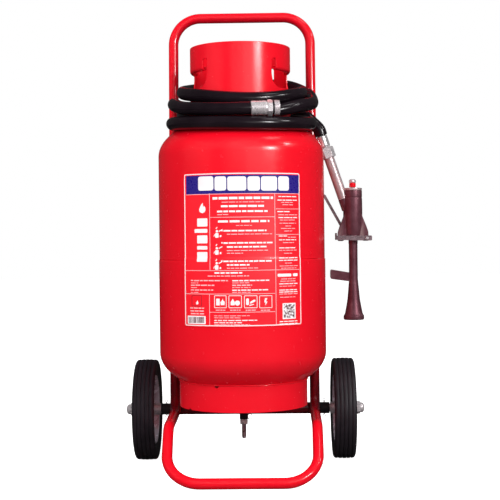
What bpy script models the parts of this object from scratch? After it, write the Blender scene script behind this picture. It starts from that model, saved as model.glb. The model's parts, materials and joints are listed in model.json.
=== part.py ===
"""Wheeled powder fire extinguisher, modelled as separate pieces in metres.

Frame: +Z up, the front faces -Y, +X is the viewer's right.
Origin: middle of the foot bar's underside, on the floor.
The pressure shell stands upright on a bent tube frame, with the wheels behind it.
"""
import bpy
import bmesh
from math import sin, cos, tan, pi, radians, sqrt, acos, atan2
from mathutils import Vector, Matrix

for ob in list(bpy.data.objects):
    bpy.data.objects.remove(ob, do_unlink=True)

# ------------------------------------------------------------------ shared sizes (m)
GAP = 0.0003  # clearance between neighbouring pieces
SIDES = ((-1, "left"), (1, "right"))

# pressure shell
AXIS_Y = 0.175
SHELL_AXIS = (0, AXIS_Y, 0)
SHELL_R = 0.160
UPPER_R = 0.1590
WALL = 0.0025
STRAIGHT_BOTTOM = 0.230
STRAIGHT_TOP = 0.605
HEAD_DEPTH = 0.080
SEAM_Z = 0.408
SHELL_SEGS = 36
NECK_R = 0.0250
NECK_TOP = 0.7050

# tube frame, used by the saddles too
TUBE_R = 0.010
TOP_Y = 0.340
TOP_Z = 0.9034
BEND_Y = 0.2775
BEND_Z = 0.0970

# discharge gun, used by the hose too
GUN_X = 0.2187
GUN_Y = 0.242
GUN_TILT = radians(18.6)
SWIVEL = Vector((0.1729, GUN_Y, 0.6048))
GUN_DOWN = Vector((sin(GUN_TILT), 0, -cos(GUN_TILT)))  # down the gun tube

# ------------------------------------------------------------------ materials
SMOOTH_ANGLE = radians(35)  # edges sharper than this stay crisp

FINISHES = {
    "red": dict(colour=(0.78, 0.012, 0.022), roughness=0.25, metallic=0.0),
    "black": dict(colour=(0.012, 0.011, 0.012), roughness=0.35, metallic=0.0),
    "rubber": dict(colour=(0.018, 0.016, 0.018), roughness=0.75, metallic=0.0),
    "zinc": dict(colour=(0.62, 0.60, 0.60), roughness=0.30, metallic=1.0),
    "brass": dict(colour=(0.70, 0.52, 0.22), roughness=0.30, metallic=1.0),
    "bronze": dict(colour=(0.20, 0.085, 0.095), roughness=0.40, metallic=0.7),
    "steel": dict(colour=(0.50, 0.48, 0.48), roughness=0.35, metallic=1.0),
    "white": dict(colour=(0.85, 0.85, 0.85), roughness=0.50, metallic=0.0),
    "clear": dict(colour=(0.90, 0.92, 0.95), roughness=0.05, metallic=0.0),
    "label": dict(colour=(0.80, 0.015, 0.03), roughness=0.40, metallic=0.0),
}


def material(name, colour, roughness, metallic):
    mat = bpy.data.materials.new(name)
    mat.use_nodes = True
    inputs = mat.node_tree.nodes["Principled BSDF"].inputs
    inputs["Base Color"].default_value = (*colour, 1.0)
    inputs["Roughness"].default_value = roughness
    inputs["Metallic"].default_value = metallic
    return mat


# ------------------------------------------------------------------ mesh helpers
def shade(mesh):
    mesh.shade_smooth()
    mesh.set_sharp_from_angle(angle=SMOOTH_ANGLE)


def finish(name, bm, finish_name, origin=None):
    """Turn a bmesh in world coordinates into an object; cutters have no finish."""
    bmesh.ops.remove_doubles(bm, verts=bm.verts, dist=1e-7)
    bmesh.ops.recalc_face_normals(bm, faces=bm.faces)
    mesh = bpy.data.meshes.new(name)
    bm.to_mesh(mesh)
    bm.free()
    piece = bpy.data.objects.new(name, mesh)
    bpy.context.scene.collection.objects.link(piece)
    if origin is not None:
        mesh.transform(Matrix.Translation(-Vector(origin)))
        piece.location = origin
    if finish_name:
        mesh.materials.append(material("mat_" + name, **FINISHES[finish_name]))
    shade(mesh)
    return piece


def to_axis(direction, at):
    """Matrix taking local +Z to a direction and the origin to a point."""
    turn = Vector(direction).normalized().to_track_quat('Z', 'Y')
    return Matrix.Translation(Vector(at)) @ turn.to_matrix().to_4x4()


def bridge(bm, loop_a, loop_b):
    """Quads between two closed loops of equal length."""
    count = len(loop_a)
    for i in range(count):
        j = (i + 1) % count
        bm.faces.new((loop_a[i], loop_a[j], loop_b[j], loop_b[i]))


def turned(name, profile, segs, finish_name, at=SHELL_AXIS, axis=(0, 0, 1), origin=None):
    """(r, z) outline spun about an axis; it closes on itself unless it ends at r = 0."""
    bm = bmesh.new()
    rings = []
    for r, z in profile:
        if r < 1e-9:
            rings.append([bm.verts.new((0, 0, z))])
        else:
            rings.append([bm.verts.new((r * cos(2 * pi * (i + 0.5) / segs),
                                        r * sin(2 * pi * (i + 0.5) / segs), z))
                          for i in range(segs)])
    pairs = list(zip(rings[:-1], rings[1:]))
    if len(rings[0]) > 1 and len(rings[-1]) > 1:
        pairs.append((rings[-1], rings[0]))
    for ring_a, ring_b in pairs:
        if len(ring_a) == 1:
            for i in range(segs):
                bm.faces.new((ring_a[0], ring_b[(i + 1) % segs], ring_b[i]))
        elif len(ring_b) == 1:
            for i in range(segs):
                bm.faces.new((ring_a[i], ring_a[(i + 1) % segs], ring_b[0]))
        else:
            bridge(bm, ring_a, ring_b)
    bm.transform(to_axis(axis, at))
    return finish(name, bm, finish_name, origin)


def rod(radius, z0, z1, chamfer=0.0):
    """Profile of a solid bar, its end edges chamfered on request."""
    if chamfer:
        return [(0, z0), (radius - chamfer, z0), (radius, z0 + chamfer),
                (radius, z1 - chamfer), (radius - chamfer, z1), (0, z1)]
    return [(0, z0), (radius, z0), (radius, z1), (0, z1)]


def ring(inner, outer, z0, z1):
    """Profile of a plain ring or bush."""
    return [(inner, z0), (outer, z0), (outer, z1), (inner, z1)]


def prism(name, outline, depth, finish_name, matrix, origin=None):
    """Flat outline in local XY, extruded along local +Z by depth."""
    bm = bmesh.new()
    face = bm.faces.new([bm.verts.new((x, y, 0)) for x, y in outline])
    extruded = bmesh.ops.extrude_face_region(bm, geom=[face])
    top = [v for v in extruded["geom"] if isinstance(v, bmesh.types.BMVert)]
    bmesh.ops.translate(bm, verts=top, vec=(0, 0, depth))
    bmesh.ops.triangulate(bm, faces=[f for f in bm.faces if len(f.verts) > 4])
    bm.transform(matrix)
    return finish(name, bm, finish_name, origin)


def slab_across(name, outline, width, finish_name, x=0.0, y=AXIS_Y, origin=None):
    """(y, z) outline, its y measured from y, given a width along X centred on x."""
    matrix = Matrix(((0, 0, 1, x - width / 2), (1, 0, 0, y), (0, 1, 0, 0), (0, 0, 0, 1)))
    return prism(name, outline, width, finish_name, matrix, origin)


def slab_gun(name, outline, width, finish_name, y=0.0, origin=None):
    """(x, z) outline from the gun axis, given a width along Y centred y behind it."""
    matrix = Matrix(((1, 0, 0, GUN_X), (0, 0, 1, GUN_Y + y - width / 2),
                     (0, 1, 0, 0), (0, 0, 0, 1)))
    return prism(name, outline, width, finish_name, matrix, origin)


def frames(path, up):
    """Parallel-transported (tangent, normal, binormal) along a polyline."""
    result = []
    last = len(path) - 1
    previous = None
    normal = Vector(up)
    for i in range(len(path)):
        tangent = (path[min(i + 1, last)] - path[max(i - 1, 0)]).normalized()
        if previous is not None:
            normal = previous.rotation_difference(tangent) @ normal
        normal = (normal - tangent * normal.dot(tangent)).normalized()
        result.append((tangent, normal.copy(), tangent.cross(normal)))
        previous = tangent
    return result


def tube_bm(path, radius, segs, bore=0.0, up=(0, 0, 1), phase=0.0, path_frames=None):
    """Round bar or pipe along an open path with flat ends."""
    bm = bmesh.new()
    path_frames = path_frames or frames(path, up)

    def loops(r):
        return [[bm.verts.new(p + normal * (r * cos(2 * pi * (k + phase) / segs))
                              + binormal * (r * sin(2 * pi * (k + phase) / segs)))
                 for k in range(segs)]
                for p, (_, normal, binormal) in zip(path, path_frames)]

    outer = loops(radius)
    inner = loops(bore) if bore else []
    for wall in (outer, inner):
        for loop_a, loop_b in zip(wall[:-1], wall[1:]):
            bridge(bm, loop_a, loop_b)
    if inner:
        bridge(bm, outer[0], inner[0])
        bridge(bm, outer[-1], inner[-1])
    else:
        bm.faces.new(outer[0])
        bm.faces.new(outer[-1])
        bmesh.ops.triangulate(bm, faces=[f for f in bm.faces if len(f.verts) > 4])
    return bm


def torus(name, major, minor, segs, finish_name, at, axis=(0, 0, 1), origin=None):
    """Ring of round section with six sides."""
    sides = 6
    bm = bmesh.new()
    loops = []
    for i in range(segs):
        around = 2 * pi * i / segs
        loop = []
        for k in range(sides):
            r = major + minor * cos(2 * pi * k / sides)
            z = minor * sin(2 * pi * k / sides)
            loop.append(bm.verts.new((r * cos(around), r * sin(around), z)))
        loops.append(loop)
    for i in range(segs):
        bridge(bm, loops[i], loops[(i + 1) % segs])
    bm.transform(to_axis(axis, at))
    return finish(name, bm, finish_name, origin)


def spring(name, radius, z0, z1, turns, at):
    """Upright coil spring with square wire ends, between two heights."""
    wire = 0.0007
    steps = int(turns * 8)
    rise = z1 - z0 - 2 * wire
    path = [Vector((radius * cos(2 * pi * turns * i / steps),
                    radius * sin(2 * pi * turns * i / steps),
                    z0 + wire + rise * i / steps)) for i in range(steps + 1)]
    bm = tube_bm(path, wire, 4)
    bm.transform(to_axis((0, 0, 1), at))
    return finish(name, bm, "steel")


def boolean(target, tool, operation):
    """Apply an exact boolean to the target and remove the tool."""
    mod = target.modifiers.new("cut", 'BOOLEAN')
    mod.operation = operation
    mod.solver = 'EXACT'
    mod.object = tool
    bpy.context.view_layer.update()
    depsgraph = bpy.context.evaluated_depsgraph_get()
    mesh = bpy.data.meshes.new_from_object(target.evaluated_get(depsgraph))
    target.modifiers.remove(mod)
    own_material = target.data.materials[0]
    target.data = mesh
    mesh.materials.clear()
    mesh.materials.append(own_material)
    bpy.data.objects.remove(tool, do_unlink=True)
    # tidy the slivers that the boolean leaves
    bm = bmesh.new()
    bm.from_mesh(mesh)
    bmesh.ops.remove_doubles(bm, verts=bm.verts, dist=2e-6)
    bmesh.ops.dissolve_degenerate(bm, edges=bm.edges, dist=2e-6)
    bmesh.ops.triangulate(bm, faces=bm.faces)
    for face in bm.faces:
        face.material_index = 0
    bm.to_mesh(mesh)
    bm.free()
    shade(mesh)


def cut(target, tool):
    boolean(target, tool, 'DIFFERENCE')


def join(target, tool):
    boolean(target, tool, 'UNION')


def plug(radius, z0, z1, segs, at=SHELL_AXIS, axis=(0, 0, 1)):
    """Plain cylinder to cut with or to join on."""
    return turned("tool", rod(radius, z0, z1), segs, None, at=at, axis=axis)


def fillet(points, radii, step):
    """Polyline with each corner replaced by an arc; radius 0 keeps the point."""
    path = []
    for i, (point, radius) in enumerate(zip(points, radii)):
        corner = Vector(point)
        if radius == 0:
            path.append(corner)
            continue
        back = (Vector(points[i - 1]) - corner).normalized()
        ahead = (Vector(points[i + 1]) - corner).normalized()
        angle = back.angle(ahead)
        setback = radius / tan(angle / 2)
        centre = corner + (back + ahead).normalized() * (radius / sin(angle / 2))
        start = corner + back * setback - centre
        end = corner + ahead * setback - centre
        sweep = pi - angle
        count = max(2, int(round(sweep / step)))
        normal = start.cross(end).normalized()
        for j in range(count + 1):
            path.append(centre + Matrix.Rotation(sweep * j / count, 3, normal) @ start)
    return path


def catmull(points, per):
    """Smooth curve through points, sampled per times between neighbours."""
    pts = [Vector(p) for p in points]
    pts = [pts[0] * 2 - pts[1]] + pts + [pts[-1] * 2 - pts[-2]]
    curve = []
    for i in range(1, len(pts) - 2):
        p0, p1, p2, p3 = pts[i - 1:i + 3]
        for j in range(per):
            t = j / per
            curve.append(0.5 * ((2 * p1) + (p2 - p0) * t
                                + (2 * p0 - 5 * p1 + 4 * p2 - p3) * t * t
                                + (3 * p1 - p0 - 3 * p2 + p3) * t ** 3))
    curve.append(pts[-2])
    return curve


# ------------------------------------------------------------------ shells and neck
HEAD_STEPS = 6
LIP_DEPTH = 0.012  # the upper shell's lip reaches this far below the seam
NECK_BORE = 0.0155


def head_height(r):
    """Height of the ellipsoidal head beyond its tangent line at radius r."""
    return HEAD_DEPTH * sqrt(max(0.0, 1 - (r / SHELL_R) ** 2))


def head_arc(radius, depth, hole, steps, tangent_z):
    """(r, z) points from the wall to the hole radius; negative depth goes down."""
    end = acos(hole / radius)
    return [(radius * cos(end * i / steps), tangent_z + depth * sin(end * i / steps))
            for i in range(steps + 1)]


def shell_upper():
    hole = NECK_R + GAP + 0.0001
    outside = head_arc(UPPER_R, HEAD_DEPTH, hole, HEAD_STEPS, STRAIGHT_TOP)
    inside = head_arc(UPPER_R - WALL, HEAD_DEPTH - WALL, hole, HEAD_STEPS, STRAIGHT_TOP)
    lip_outer = SHELL_R * cos(pi / SHELL_SEGS) - WALL - 0.0006
    lip_inner = lip_outer - WALL
    lip = [(lip_inner, SEAM_Z - LIP_DEPTH), (lip_outer, SEAM_Z - LIP_DEPTH),
           (lip_outer, SEAM_Z + GAP), (UPPER_R, SEAM_Z + GAP + 0.0012)]
    profile = lip + outside + inside[::-1] + [(lip_inner, SEAM_Z + 0.006)]
    turned("shell_upper", profile, SHELL_SEGS, "red")


def shell_lower():
    steps = HEAD_STEPS + 1
    inner_r = SHELL_R - WALL
    outside = head_arc(SHELL_R, -HEAD_DEPTH, 0.0, steps, STRAIGHT_BOTTOM)
    inside = head_arc(inner_r, WALL - HEAD_DEPTH, 0.0, steps, STRAIGHT_BOTTOM)
    profile = inside[::-1] + [(inner_r, SEAM_Z), (SHELL_R, SEAM_Z)] + outside
    turned("shell_lower", profile, SHELL_SEGS, "red")


def neck_boss():
    chamfer = 0.0015
    turned("neck_boss",
           [(NECK_BORE, 0.6780), (0.0180, 0.6770), (0.0235, 0.6780), (NECK_R, 0.6800),
            (NECK_R, NECK_TOP - chamfer), (NECK_R - chamfer, NECK_TOP),
            (NECK_BORE, NECK_TOP)], 20, "red")


# ------------------------------------------------------------------ collar
COLLAR_R = 0.0965
COLLAR_INNER = COLLAR_R - 0.0030
COLLAR_TOP = 0.8125
WINDOW_TOP = 0.7605
WINDOW_BOTTOM = 0.7300
WINDOW_CORNER = 0.014
SLOT_TOP = 0.7840
SLOT_W = 0.0108
CUTTER_RADII = (0.070, 0.125)
FRONT_PANEL_HALF = radians(39.3)
SIDE_WINDOW_END = radians(109.0)
BACK_WINDOW_HALF = radians(43.7)
# (start, end) angles, 0 at the front and positive to the right
WINDOWS = [(FRONT_PANEL_HALF, SIDE_WINDOW_END), (-SIDE_WINDOW_END, -FRONT_PANEL_HALF),
           (pi - BACK_WINDOW_HALF, pi + BACK_WINDOW_HALF)]


def around_shell(r, angle, z):
    """Point at a radius and angle about the shell axis, 0 at the front, + = right."""
    return (r * sin(angle), AXIS_Y - r * cos(angle), z)


def window_cutter(start, end):
    """Radial cutter: rounded below, with an upward slot at each end."""
    corner = WINDOW_CORNER / COLLAR_R
    slot = SLOT_W / COLLAR_R
    outline = []
    for centre, first in ((start + corner, pi), (end - corner, 1.5 * pi)):
        for j in range(5):
            turn = first + pi / 2 * j / 4
            outline.append((centre + corner * cos(turn),
                            WINDOW_BOTTOM + WINDOW_CORNER + WINDOW_CORNER * sin(turn)))
    outline += [(end, SLOT_TOP), (end - slot, SLOT_TOP), (end - slot, WINDOW_TOP),
                (start + slot, WINDOW_TOP), (start + slot, SLOT_TOP), (start, SLOT_TOP)]
    bm = bmesh.new()
    loops = [[bm.verts.new(around_shell(r, a, z)) for a, z in outline]
             for r in CUTTER_RADII]
    bridge(bm, *loops)
    middle = ((start + end) / 2, (WINDOW_BOTTOM + WINDOW_TOP) / 2)
    for r, loop in zip(CUTTER_RADII, loops):
        centre = bm.verts.new(around_shell(r, *middle))
        for k in range(len(loop)):
            bm.faces.new((loop[k], loop[(k + 1) % len(loop)], centre))
    return finish("tool", bm, None)


def collar():
    """Ring standing on the shoulder, with windows at both sides and the back."""
    lift = STRAIGHT_TOP + 0.0004
    chamfer = 0.001
    piece = turned("collar",
                   [(COLLAR_INNER, lift + head_height(COLLAR_INNER)),
                    (COLLAR_R, lift + head_height(COLLAR_R)),
                    (COLLAR_R, COLLAR_TOP - chamfer), (COLLAR_R - chamfer, COLLAR_TOP),
                    (COLLAR_INNER + chamfer, COLLAR_TOP),
                    (COLLAR_INNER, COLLAR_TOP - chamfer)], 40, "red")
    for start, end in WINDOWS:
        cut(piece, window_cutter(start, end))


# ------------------------------------------------------------------ foot ring and label
FOOT_R = 0.1230
FOOT_INNER = FOOT_R - 0.0030
FOOT_BOTTOM = 0.1275
LABEL_HALF = radians(43.8)
LABEL_COLUMNS = 18
LABEL_OFFSETS = (0.0004, 0.0009)  # inner and outer face above the shell
# (height, shell radius behind the label)
LABEL_ROWS = [(0.285, SHELL_R), (SEAM_Z + 0.0008, SHELL_R),
              (SEAM_Z + 0.0060, UPPER_R), (0.560, UPPER_R)]


def foot_ring():
    """Ring under the shell's lower head."""
    drop = STRAIGHT_BOTTOM - 0.0005
    turned("foot_ring", [(FOOT_INNER, FOOT_BOTTOM), (FOOT_R, FOOT_BOTTOM),
                         (FOOT_R, drop - head_height(FOOT_R)),
                         (FOOT_INNER, drop - head_height(FOOT_INNER))], SHELL_SEGS, "red")


def label():
    """Curved sheet on the front of the shell, stepped in over the seam."""
    bm = bmesh.new()
    grid = {}
    for layer, offset in enumerate(LABEL_OFFSETS):
        for i in range(LABEL_COLUMNS + 1):
            angle = -LABEL_HALF + 2 * LABEL_HALF * i / LABEL_COLUMNS
            for j, (z, r) in enumerate(LABEL_ROWS):
                grid[layer, i, j] = bm.verts.new(around_shell(r + offset, angle, z))
    last = len(LABEL_ROWS) - 1
    square = ((0, 0), (1, 0), (1, 1), (0, 1))
    for i in range(LABEL_COLUMNS):
        for j in range(last):
            for layer in (0, 1):
                bm.faces.new([grid[layer, i + a, j + b] for a, b in square])
        for j in (0, last):
            bm.faces.new([grid[b, i + a, j] for a, b in square])
    for j in range(last):
        for i in (0, LABEL_COLUMNS):
            bm.faces.new([grid[b, i, j + a] for a, b in square])
    finish("label", bm, "label")


# ------------------------------------------------------------------ tube frame
TUBE_WALL = 0.0015
TUBE_SEGS = 12
FOOT_Z = TUBE_R * cos(pi / TUBE_SEGS)  # the tube's lowest flats rest on the floor
HALF_UP = 0.141
# (corner point, bend radius) of the right half: foot bar, arm, upright, top bar
FRAME_CORNERS = [
    ((0, 0, FOOT_Z), 0),
    ((0.1370, 0, FOOT_Z), 0.062),
    ((0.1385, 0.090, BEND_Z), 0.050),
    ((HALF_UP, BEND_Y, BEND_Z), 0.035),
    ((HALF_UP, TOP_Y, TOP_Z), 0.056),
    ((GAP, TOP_Y, TOP_Z), 0),
]


def mirrored(v):
    return Vector((-v.x, v.y, v.z))


def frame_tube():
    """One bent tube whose two ends meet in the middle of the top bar."""
    points, radii = zip(*FRAME_CORNERS)
    half = fillet(points, radii, step=radians(19))
    half_frames = frames(half, (0, 0, 1))
    path = [mirrored(p) for p in half[::-1]] + half[1:]
    # the section is mirrored about X = 0 so that both halves meet face to face
    directions = [(-mirrored(t), mirrored(n)) for t, n, _ in half_frames[::-1]]
    directions += [(t, n) for t, n, _ in half_frames[1:]]
    bm = tube_bm(path, TUBE_R, TUBE_SEGS, bore=TUBE_R - TUBE_WALL, phase=0.5,
                 path_frames=[(t, n, t.cross(n)) for t, n in directions])
    finish("frame_tube", bm, "red")


# ------------------------------------------------------------------ axle and wheels
WHEEL_R = 0.1015
WHEEL_X = 0.1990
AXLE_Y = 0.3010
AXLE_Z = WHEEL_R
AXLE_CENTRE = (0, AXLE_Y, AXLE_Z)
AXLE_R = 0.0080
AXLE_HALF = 0.2350
BEAM_R = 0.0115
BEAM_BORE = 0.0087
BEAM_HALF = 0.1505
SLEEVE_IN = BEAM_HALF + 0.0005
SLEEVE_OUT = SLEEVE_IN + 0.0200
COTTER_X = 0.1605
COTTER_R = 0.0015
COTTER_HOLE_R = 0.0019
HALF_TYRE = 0.044 / 2
TYRE_SEGS = 32
RIM_R = 0.0700
RIM_SEAT = RIM_R + GAP
RIM_EDGE = RIM_R * cos(pi / TYRE_SEGS) - 0.0001  # clears the flats of the tyre's bore
HUB_R = 0.0120
RIM_BORE = HUB_R + 0.0004
NUT_BORE = AXLE_R + 0.0004

# (radius, distance outboard of the wheel's middle plane)
TYRE = [(RIM_SEAT, -0.0165), (0.0760, -0.0180), (0.0900, -HALF_TYRE),
        (0.0975, -HALF_TYRE + 0.0010), (WHEEL_R, -HALF_TYRE + 0.0075),
        (WHEEL_R, HALF_TYRE - 0.0075), (0.0975, HALF_TYRE - 0.0010),
        (0.0900, HALF_TYRE), (0.0760, 0.0180), (RIM_SEAT, 0.0165)]
RIM = [(RIM_BORE, 0.0130), (0.0180, 0.0130), (0.0190, 0.0030), (0.0460, 0.0015),
       (0.0630, 0.0180), (RIM_EDGE, 0.0160), (RIM_EDGE, -0.0160), (0.0655, -0.0180),
       (0.0560, 0.0015), (0.0460, -0.0010), (0.0175, 0.0005), (0.0170, -0.0130),
       (RIM_BORE, -0.0130)]
CAP_NUT = [(0, 0.0390), (NUT_BORE, 0.0385), (NUT_BORE, 0.0270), (0.0125, 0.0270),
           (0.0130, 0.0280), (0.0130, 0.0340), (0.0115, 0.0365), (0.0095, 0.0400),
           (0.0060, 0.0420), (0, 0.0430)]


def cotter_hole(sign):
    return plug(COTTER_HOLE_R, -0.02, 0.02, 8, at=(sign * COTTER_X, AXLE_Y, AXLE_Z))


def split_pin(sign, side):
    """Upright pin through sleeve and shaft, its lower end bent outboard."""
    x = sign * COTTER_X
    path = [Vector((x, AXLE_Y, AXLE_Z + 0.0190)), Vector((x, AXLE_Y, AXLE_Z - 0.0135)),
            Vector((x + sign * 0.003, AXLE_Y, AXLE_Z - 0.0175))]
    finish("split_pin_" + side, tube_bm(path, COTTER_R, 8, up=(0, 1, 0)), "steel")


def axle():
    along = dict(at=AXLE_CENTRE, axis=(1, 0, 0))
    turned("axle_beam", ring(BEAM_BORE, BEAM_R, -BEAM_HALF, BEAM_HALF), 20, "red", **along)
    shaft = turned("axle_shaft", rod(AXLE_R, -AXLE_HALF, AXLE_HALF, chamfer=0.001),
                   20, "steel", **along)
    for sign, side in SIDES:
        cut(shaft, cotter_hole(sign))
        x0, x1 = sorted((sign * SLEEVE_IN, sign * SLEEVE_OUT))
        sleeve = turned("axle_sleeve_" + side, ring(BEAM_BORE, BEAM_R, x0, x1),
                        20, "black", **along)
        cut(sleeve, cotter_hole(sign))
        split_pin(sign, side)


def wheel(sign, side):
    centre = (sign * WHEEL_X, AXLE_Y, AXLE_Z)
    outboard = dict(at=centre, axis=(sign, 0, 0))
    turned("tyre_" + side, TYRE, TYRE_SEGS, "rubber", origin=centre, **outboard)
    turned("rim_" + side, RIM, 30, "zinc", origin=centre, **outboard)
    turned("hub_bush_" + side, ring(BEAM_BORE, HUB_R, -0.0265, 0.0240), 20, "steel",
           origin=centre, **outboard)
    turned("axle_washer_" + side, ring(BEAM_BORE, 0.0150, 0.0245, 0.0265), 20, "zinc",
           **outboard)
    turned("cap_nut_" + side, CAP_NUT, 12, "zinc", **outboard)


# ------------------------------------------------------------------ saddles and base
SADDLE_HEIGHT = 0.030
SADDLE_HALF_T = 0.0015
SADDLE_HALF_W = 0.1405
SADDLE_WRAP = radians(59)
SADDLE_CLEARANCE = 0.0023  # from the shell to the middle of the plate
SADDLE_STEPS = 12
STUD_HOLE_R = 0.0050
STRAP_TOP = 0.1268
STRAP_UNDER = STRAP_TOP - 0.0050
# (y, z) side view of the base strap, stepped down at the back
BASE_STRAP = [(0.145, STRAP_UNDER), (0.265, STRAP_UNDER), (0.272, 0.1150), (0.316, 0.1150),
              (0.316, 0.1198), (0.277, 0.1198), (0.269, STRAP_TOP), (0.145, STRAP_TOP)]


def upright_front(z):
    """Y just in front of the leaning uprights at height z."""
    lean = atan2(TOP_Y - BEND_Y, TOP_Z - BEND_Z)
    return BEND_Y + (z - BEND_Z) * tan(lean) - TUBE_R / cos(lean) - GAP


def saddle(name, z, shell_r):
    """Plate bent round the back of the shell with its ends on the uprights."""
    r = shell_r + SADDLE_CLEARANCE
    end_y = upright_front(z)
    middle = [(SADDLE_HALF_W, end_y)]
    for i in range(SADDLE_STEPS + 1):
        angle = SADDLE_WRAP - 2 * SADDLE_WRAP * i / SADDLE_STEPS
        middle.append((r * sin(angle), AXIS_Y + r * cos(angle)))
    middle.append((-SADDLE_HALF_W, end_y))
    near, far = [], []
    for i, point in enumerate(middle):
        before = Vector(middle[max(i - 1, 0)])
        after = Vector(middle[min(i + 1, len(middle) - 1)])
        along = (after - before).normalized()
        offset = Vector((-along.y, along.x)) * SADDLE_HALF_T
        near.append(tuple(Vector(point) + offset))
        far.append(tuple(Vector(point) - offset))
    prism(name, near + far[::-1], SADDLE_HEIGHT, "red", Matrix.Translation((0, 0, z)))


def base():
    """Strap under the shell, and the stud with its fittings on the shell axis."""
    strap = slab_across("base_strap", BASE_STRAP, 0.050, "red", y=0)
    cut(strap, plug(STUD_HOLE_R, 0.10, 0.14, 12))
    turned("bottom_boss", ring(STUD_HOLE_R, 0.0140, 0.1272, 0.1494), 16, "red")
    turned("hold_down_stud", [(0, 0.0620), (0.0036, 0.0622), (0.0045, 0.0640),
                              (0.0045, 0.1470), (0, 0.1470)], 12, "steel")
    turned("hold_down_bush", ring(0.0049, 0.0084, 0.0992, 0.1214), 16, "black")
    turned("hold_down_nut", ring(0.0055, 0.0085, 0.0895, 0.0988), 6, "zinc")


# ------------------------------------------------------------------ valve in the collar
OUTLET = dict(at=(0, AXIS_Y, 0.7380), axis=(0.7, -0.7, 0))  # points front right
PIVOT = Vector((0, AXIS_Y + 0.0115, 0.7780))
SAFETY_PIN = Vector((0, AXIS_Y - 0.0250, 0.7690))
STEM_TOP = 0.7735
GRIP_TIP = -0.0700  # y from the shell axis where both grips turn down

# (radius, z)
VALVE_BODY = [(0.0095, 0.6830), (0.0148, 0.6830), (0.0148, NECK_TOP + 0.0016),
              (0.0200, NECK_TOP + 0.0018), (0.0200, NECK_TOP + 0.0080),
              (0.0165, NECK_TOP + 0.0110), (0.0165, 0.7570), (0.0125, 0.7610),
              (0.0090, 0.7650), (0.0036, 0.7650), (0.0036, 0.7580), (0.0050, 0.7560),
              (0.0050, 0.7312), (0.0095, 0.7302)]
VALVE_STEM = [(0, 0.7250), (0.0068, 0.7250), (0.0068, 0.7290), (0.0031, 0.7300),
              (0.0031, STEM_TOP), (0, 0.7742)]
# (y from the shell axis, z) side views
VALVE_EAR = [(0.0060, 0.7500), (0.0160, 0.7500), (0.0160, 0.7830), (0.0085, 0.7830)]
VALVE_LEVER = [(0.0160, 0.7830), (0.0165, 0.7755), (0.0070, 0.7752), (-0.0040, 0.7748),
               (-0.0300, 0.7800), (GRIP_TIP, 0.7880), (-0.0760, 0.7860),
               (-0.0765, 0.7885), (GRIP_TIP, 0.7912), (-0.0300, 0.7840), (0.0020, 0.7830)]
CARRY_HANDLE = [(-0.0172, 0.7520), (-0.0300, 0.7520), (GRIP_TIP, 0.7560),
                (-0.0760, 0.7530), (-0.0775, 0.7550), (GRIP_TIP, 0.7590),
                (-0.0300, 0.7550), (-0.0172, 0.7550)]
HANDLE_POST = [(-0.0290, 0.7535), (-0.0210, 0.7535), (-0.0210, 0.7735), (-0.0290, 0.7735)]
POST_ROOT = [(-0.0290, 0.7522), (-0.0210, 0.7522), (-0.0210, 0.7548), (-0.0290, 0.7548)]


def pivot_hole():
    return plug(0.0024, -0.02, 0.02, 10, at=PIVOT, axis=(1, 0, 0))


def valve_body():
    body = turned("valve_body", VALVE_BODY, 20, "brass")
    join(body, plug(0.0105, 0.0120, 0.0360, 16, **OUTLET))
    cut(body, plug(0.0070, 0.0060, 0.0400, 14, **OUTLET))
    for sign, _ in SIDES:
        join(body, slab_across("tool", VALVE_EAR, 0.0030, None, x=sign * 0.0105))
    cut(body, pivot_hole())


def valve_fittings():
    torus("valve_seal", 0.0170, 0.0007, 20, "rubber", at=(0, AXIS_Y, NECK_TOP + 0.0009))
    turned("valve_lever_pin", rod(0.0020, -0.0150, 0.0150, chamfer=0.0004), 10, "steel",
           at=PIVOT, axis=(1, 0, 0))
    turned("dip_tube", ring(0.0072, 0.0090, 0.1700, 0.7080), 12, "zinc")
    turned("valve_stem", VALVE_STEM, 14, "brass", origin=(0, AXIS_Y, STEM_TOP))
    spring("valve_spring", 0.0078, 0.7085, 0.7245, 4.0, at=SHELL_AXIS)


def valve_lever():
    """Squeeze lever above the valve, pivoted at its rear end."""
    lever = slab_across("valve_lever", VALVE_LEVER, 0.0172, "red", origin=PIVOT)
    cut(lever, pivot_hole())


def carry_handle():
    """Fixed grip in front of the valve, with a post at each side for the pin."""
    handle = slab_across("carry_handle", CARRY_HANDLE, 0.0180, "red")
    for sign, _ in SIDES:
        join(handle, slab_across("tool", POST_ROOT, 0.0040, None, x=sign * 0.0096))
        join(handle, slab_across("tool", HANDLE_POST, 0.0020, None, x=sign * 0.0106))
    cut(handle, plug(0.0018, -0.02, 0.02, 8, at=SAFETY_PIN, axis=(1, 0, 0)))


def safety_pin():
    turned("safety_pin", rod(0.0014, -0.0160, 0.0165, chamfer=0.0003), 8, "zinc",
           at=SAFETY_PIN, axis=(1, 0, 0), origin=SAFETY_PIN)
    torus("safety_pin_ring", 0.0110, 0.0011, 16, "zinc",
          at=SAFETY_PIN + Vector((0.0294, 0, 0)), axis=(0, 0.25, 1), origin=SAFETY_PIN)


# ------------------------------------------------------------------ pressure gauge
GAUGE_X = -0.0430
GAUGE_AXIS = (GAUGE_X, AXIS_Y, 0)
GAUGE_R = 0.0180
GLASS_R = 0.0160
DIAL_Z = 0.7334
NEEDLE = (GAUGE_X, AXIS_Y, 0.7360)
# (radius, z)
GAUGE_CASE = [(0, 0.7300), (0.0170, 0.7300), (GAUGE_R, 0.7310), (GAUGE_R, 0.7440),
              (0.0165, 0.7440), (0.0165, 0.7330), (0, 0.7330)]
# (along, across) the needle
POINTER = [(-0.0035, -0.0008), (0.0120, -0.0003), (0.0120, 0.0003), (-0.0035, 0.0008)]


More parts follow.
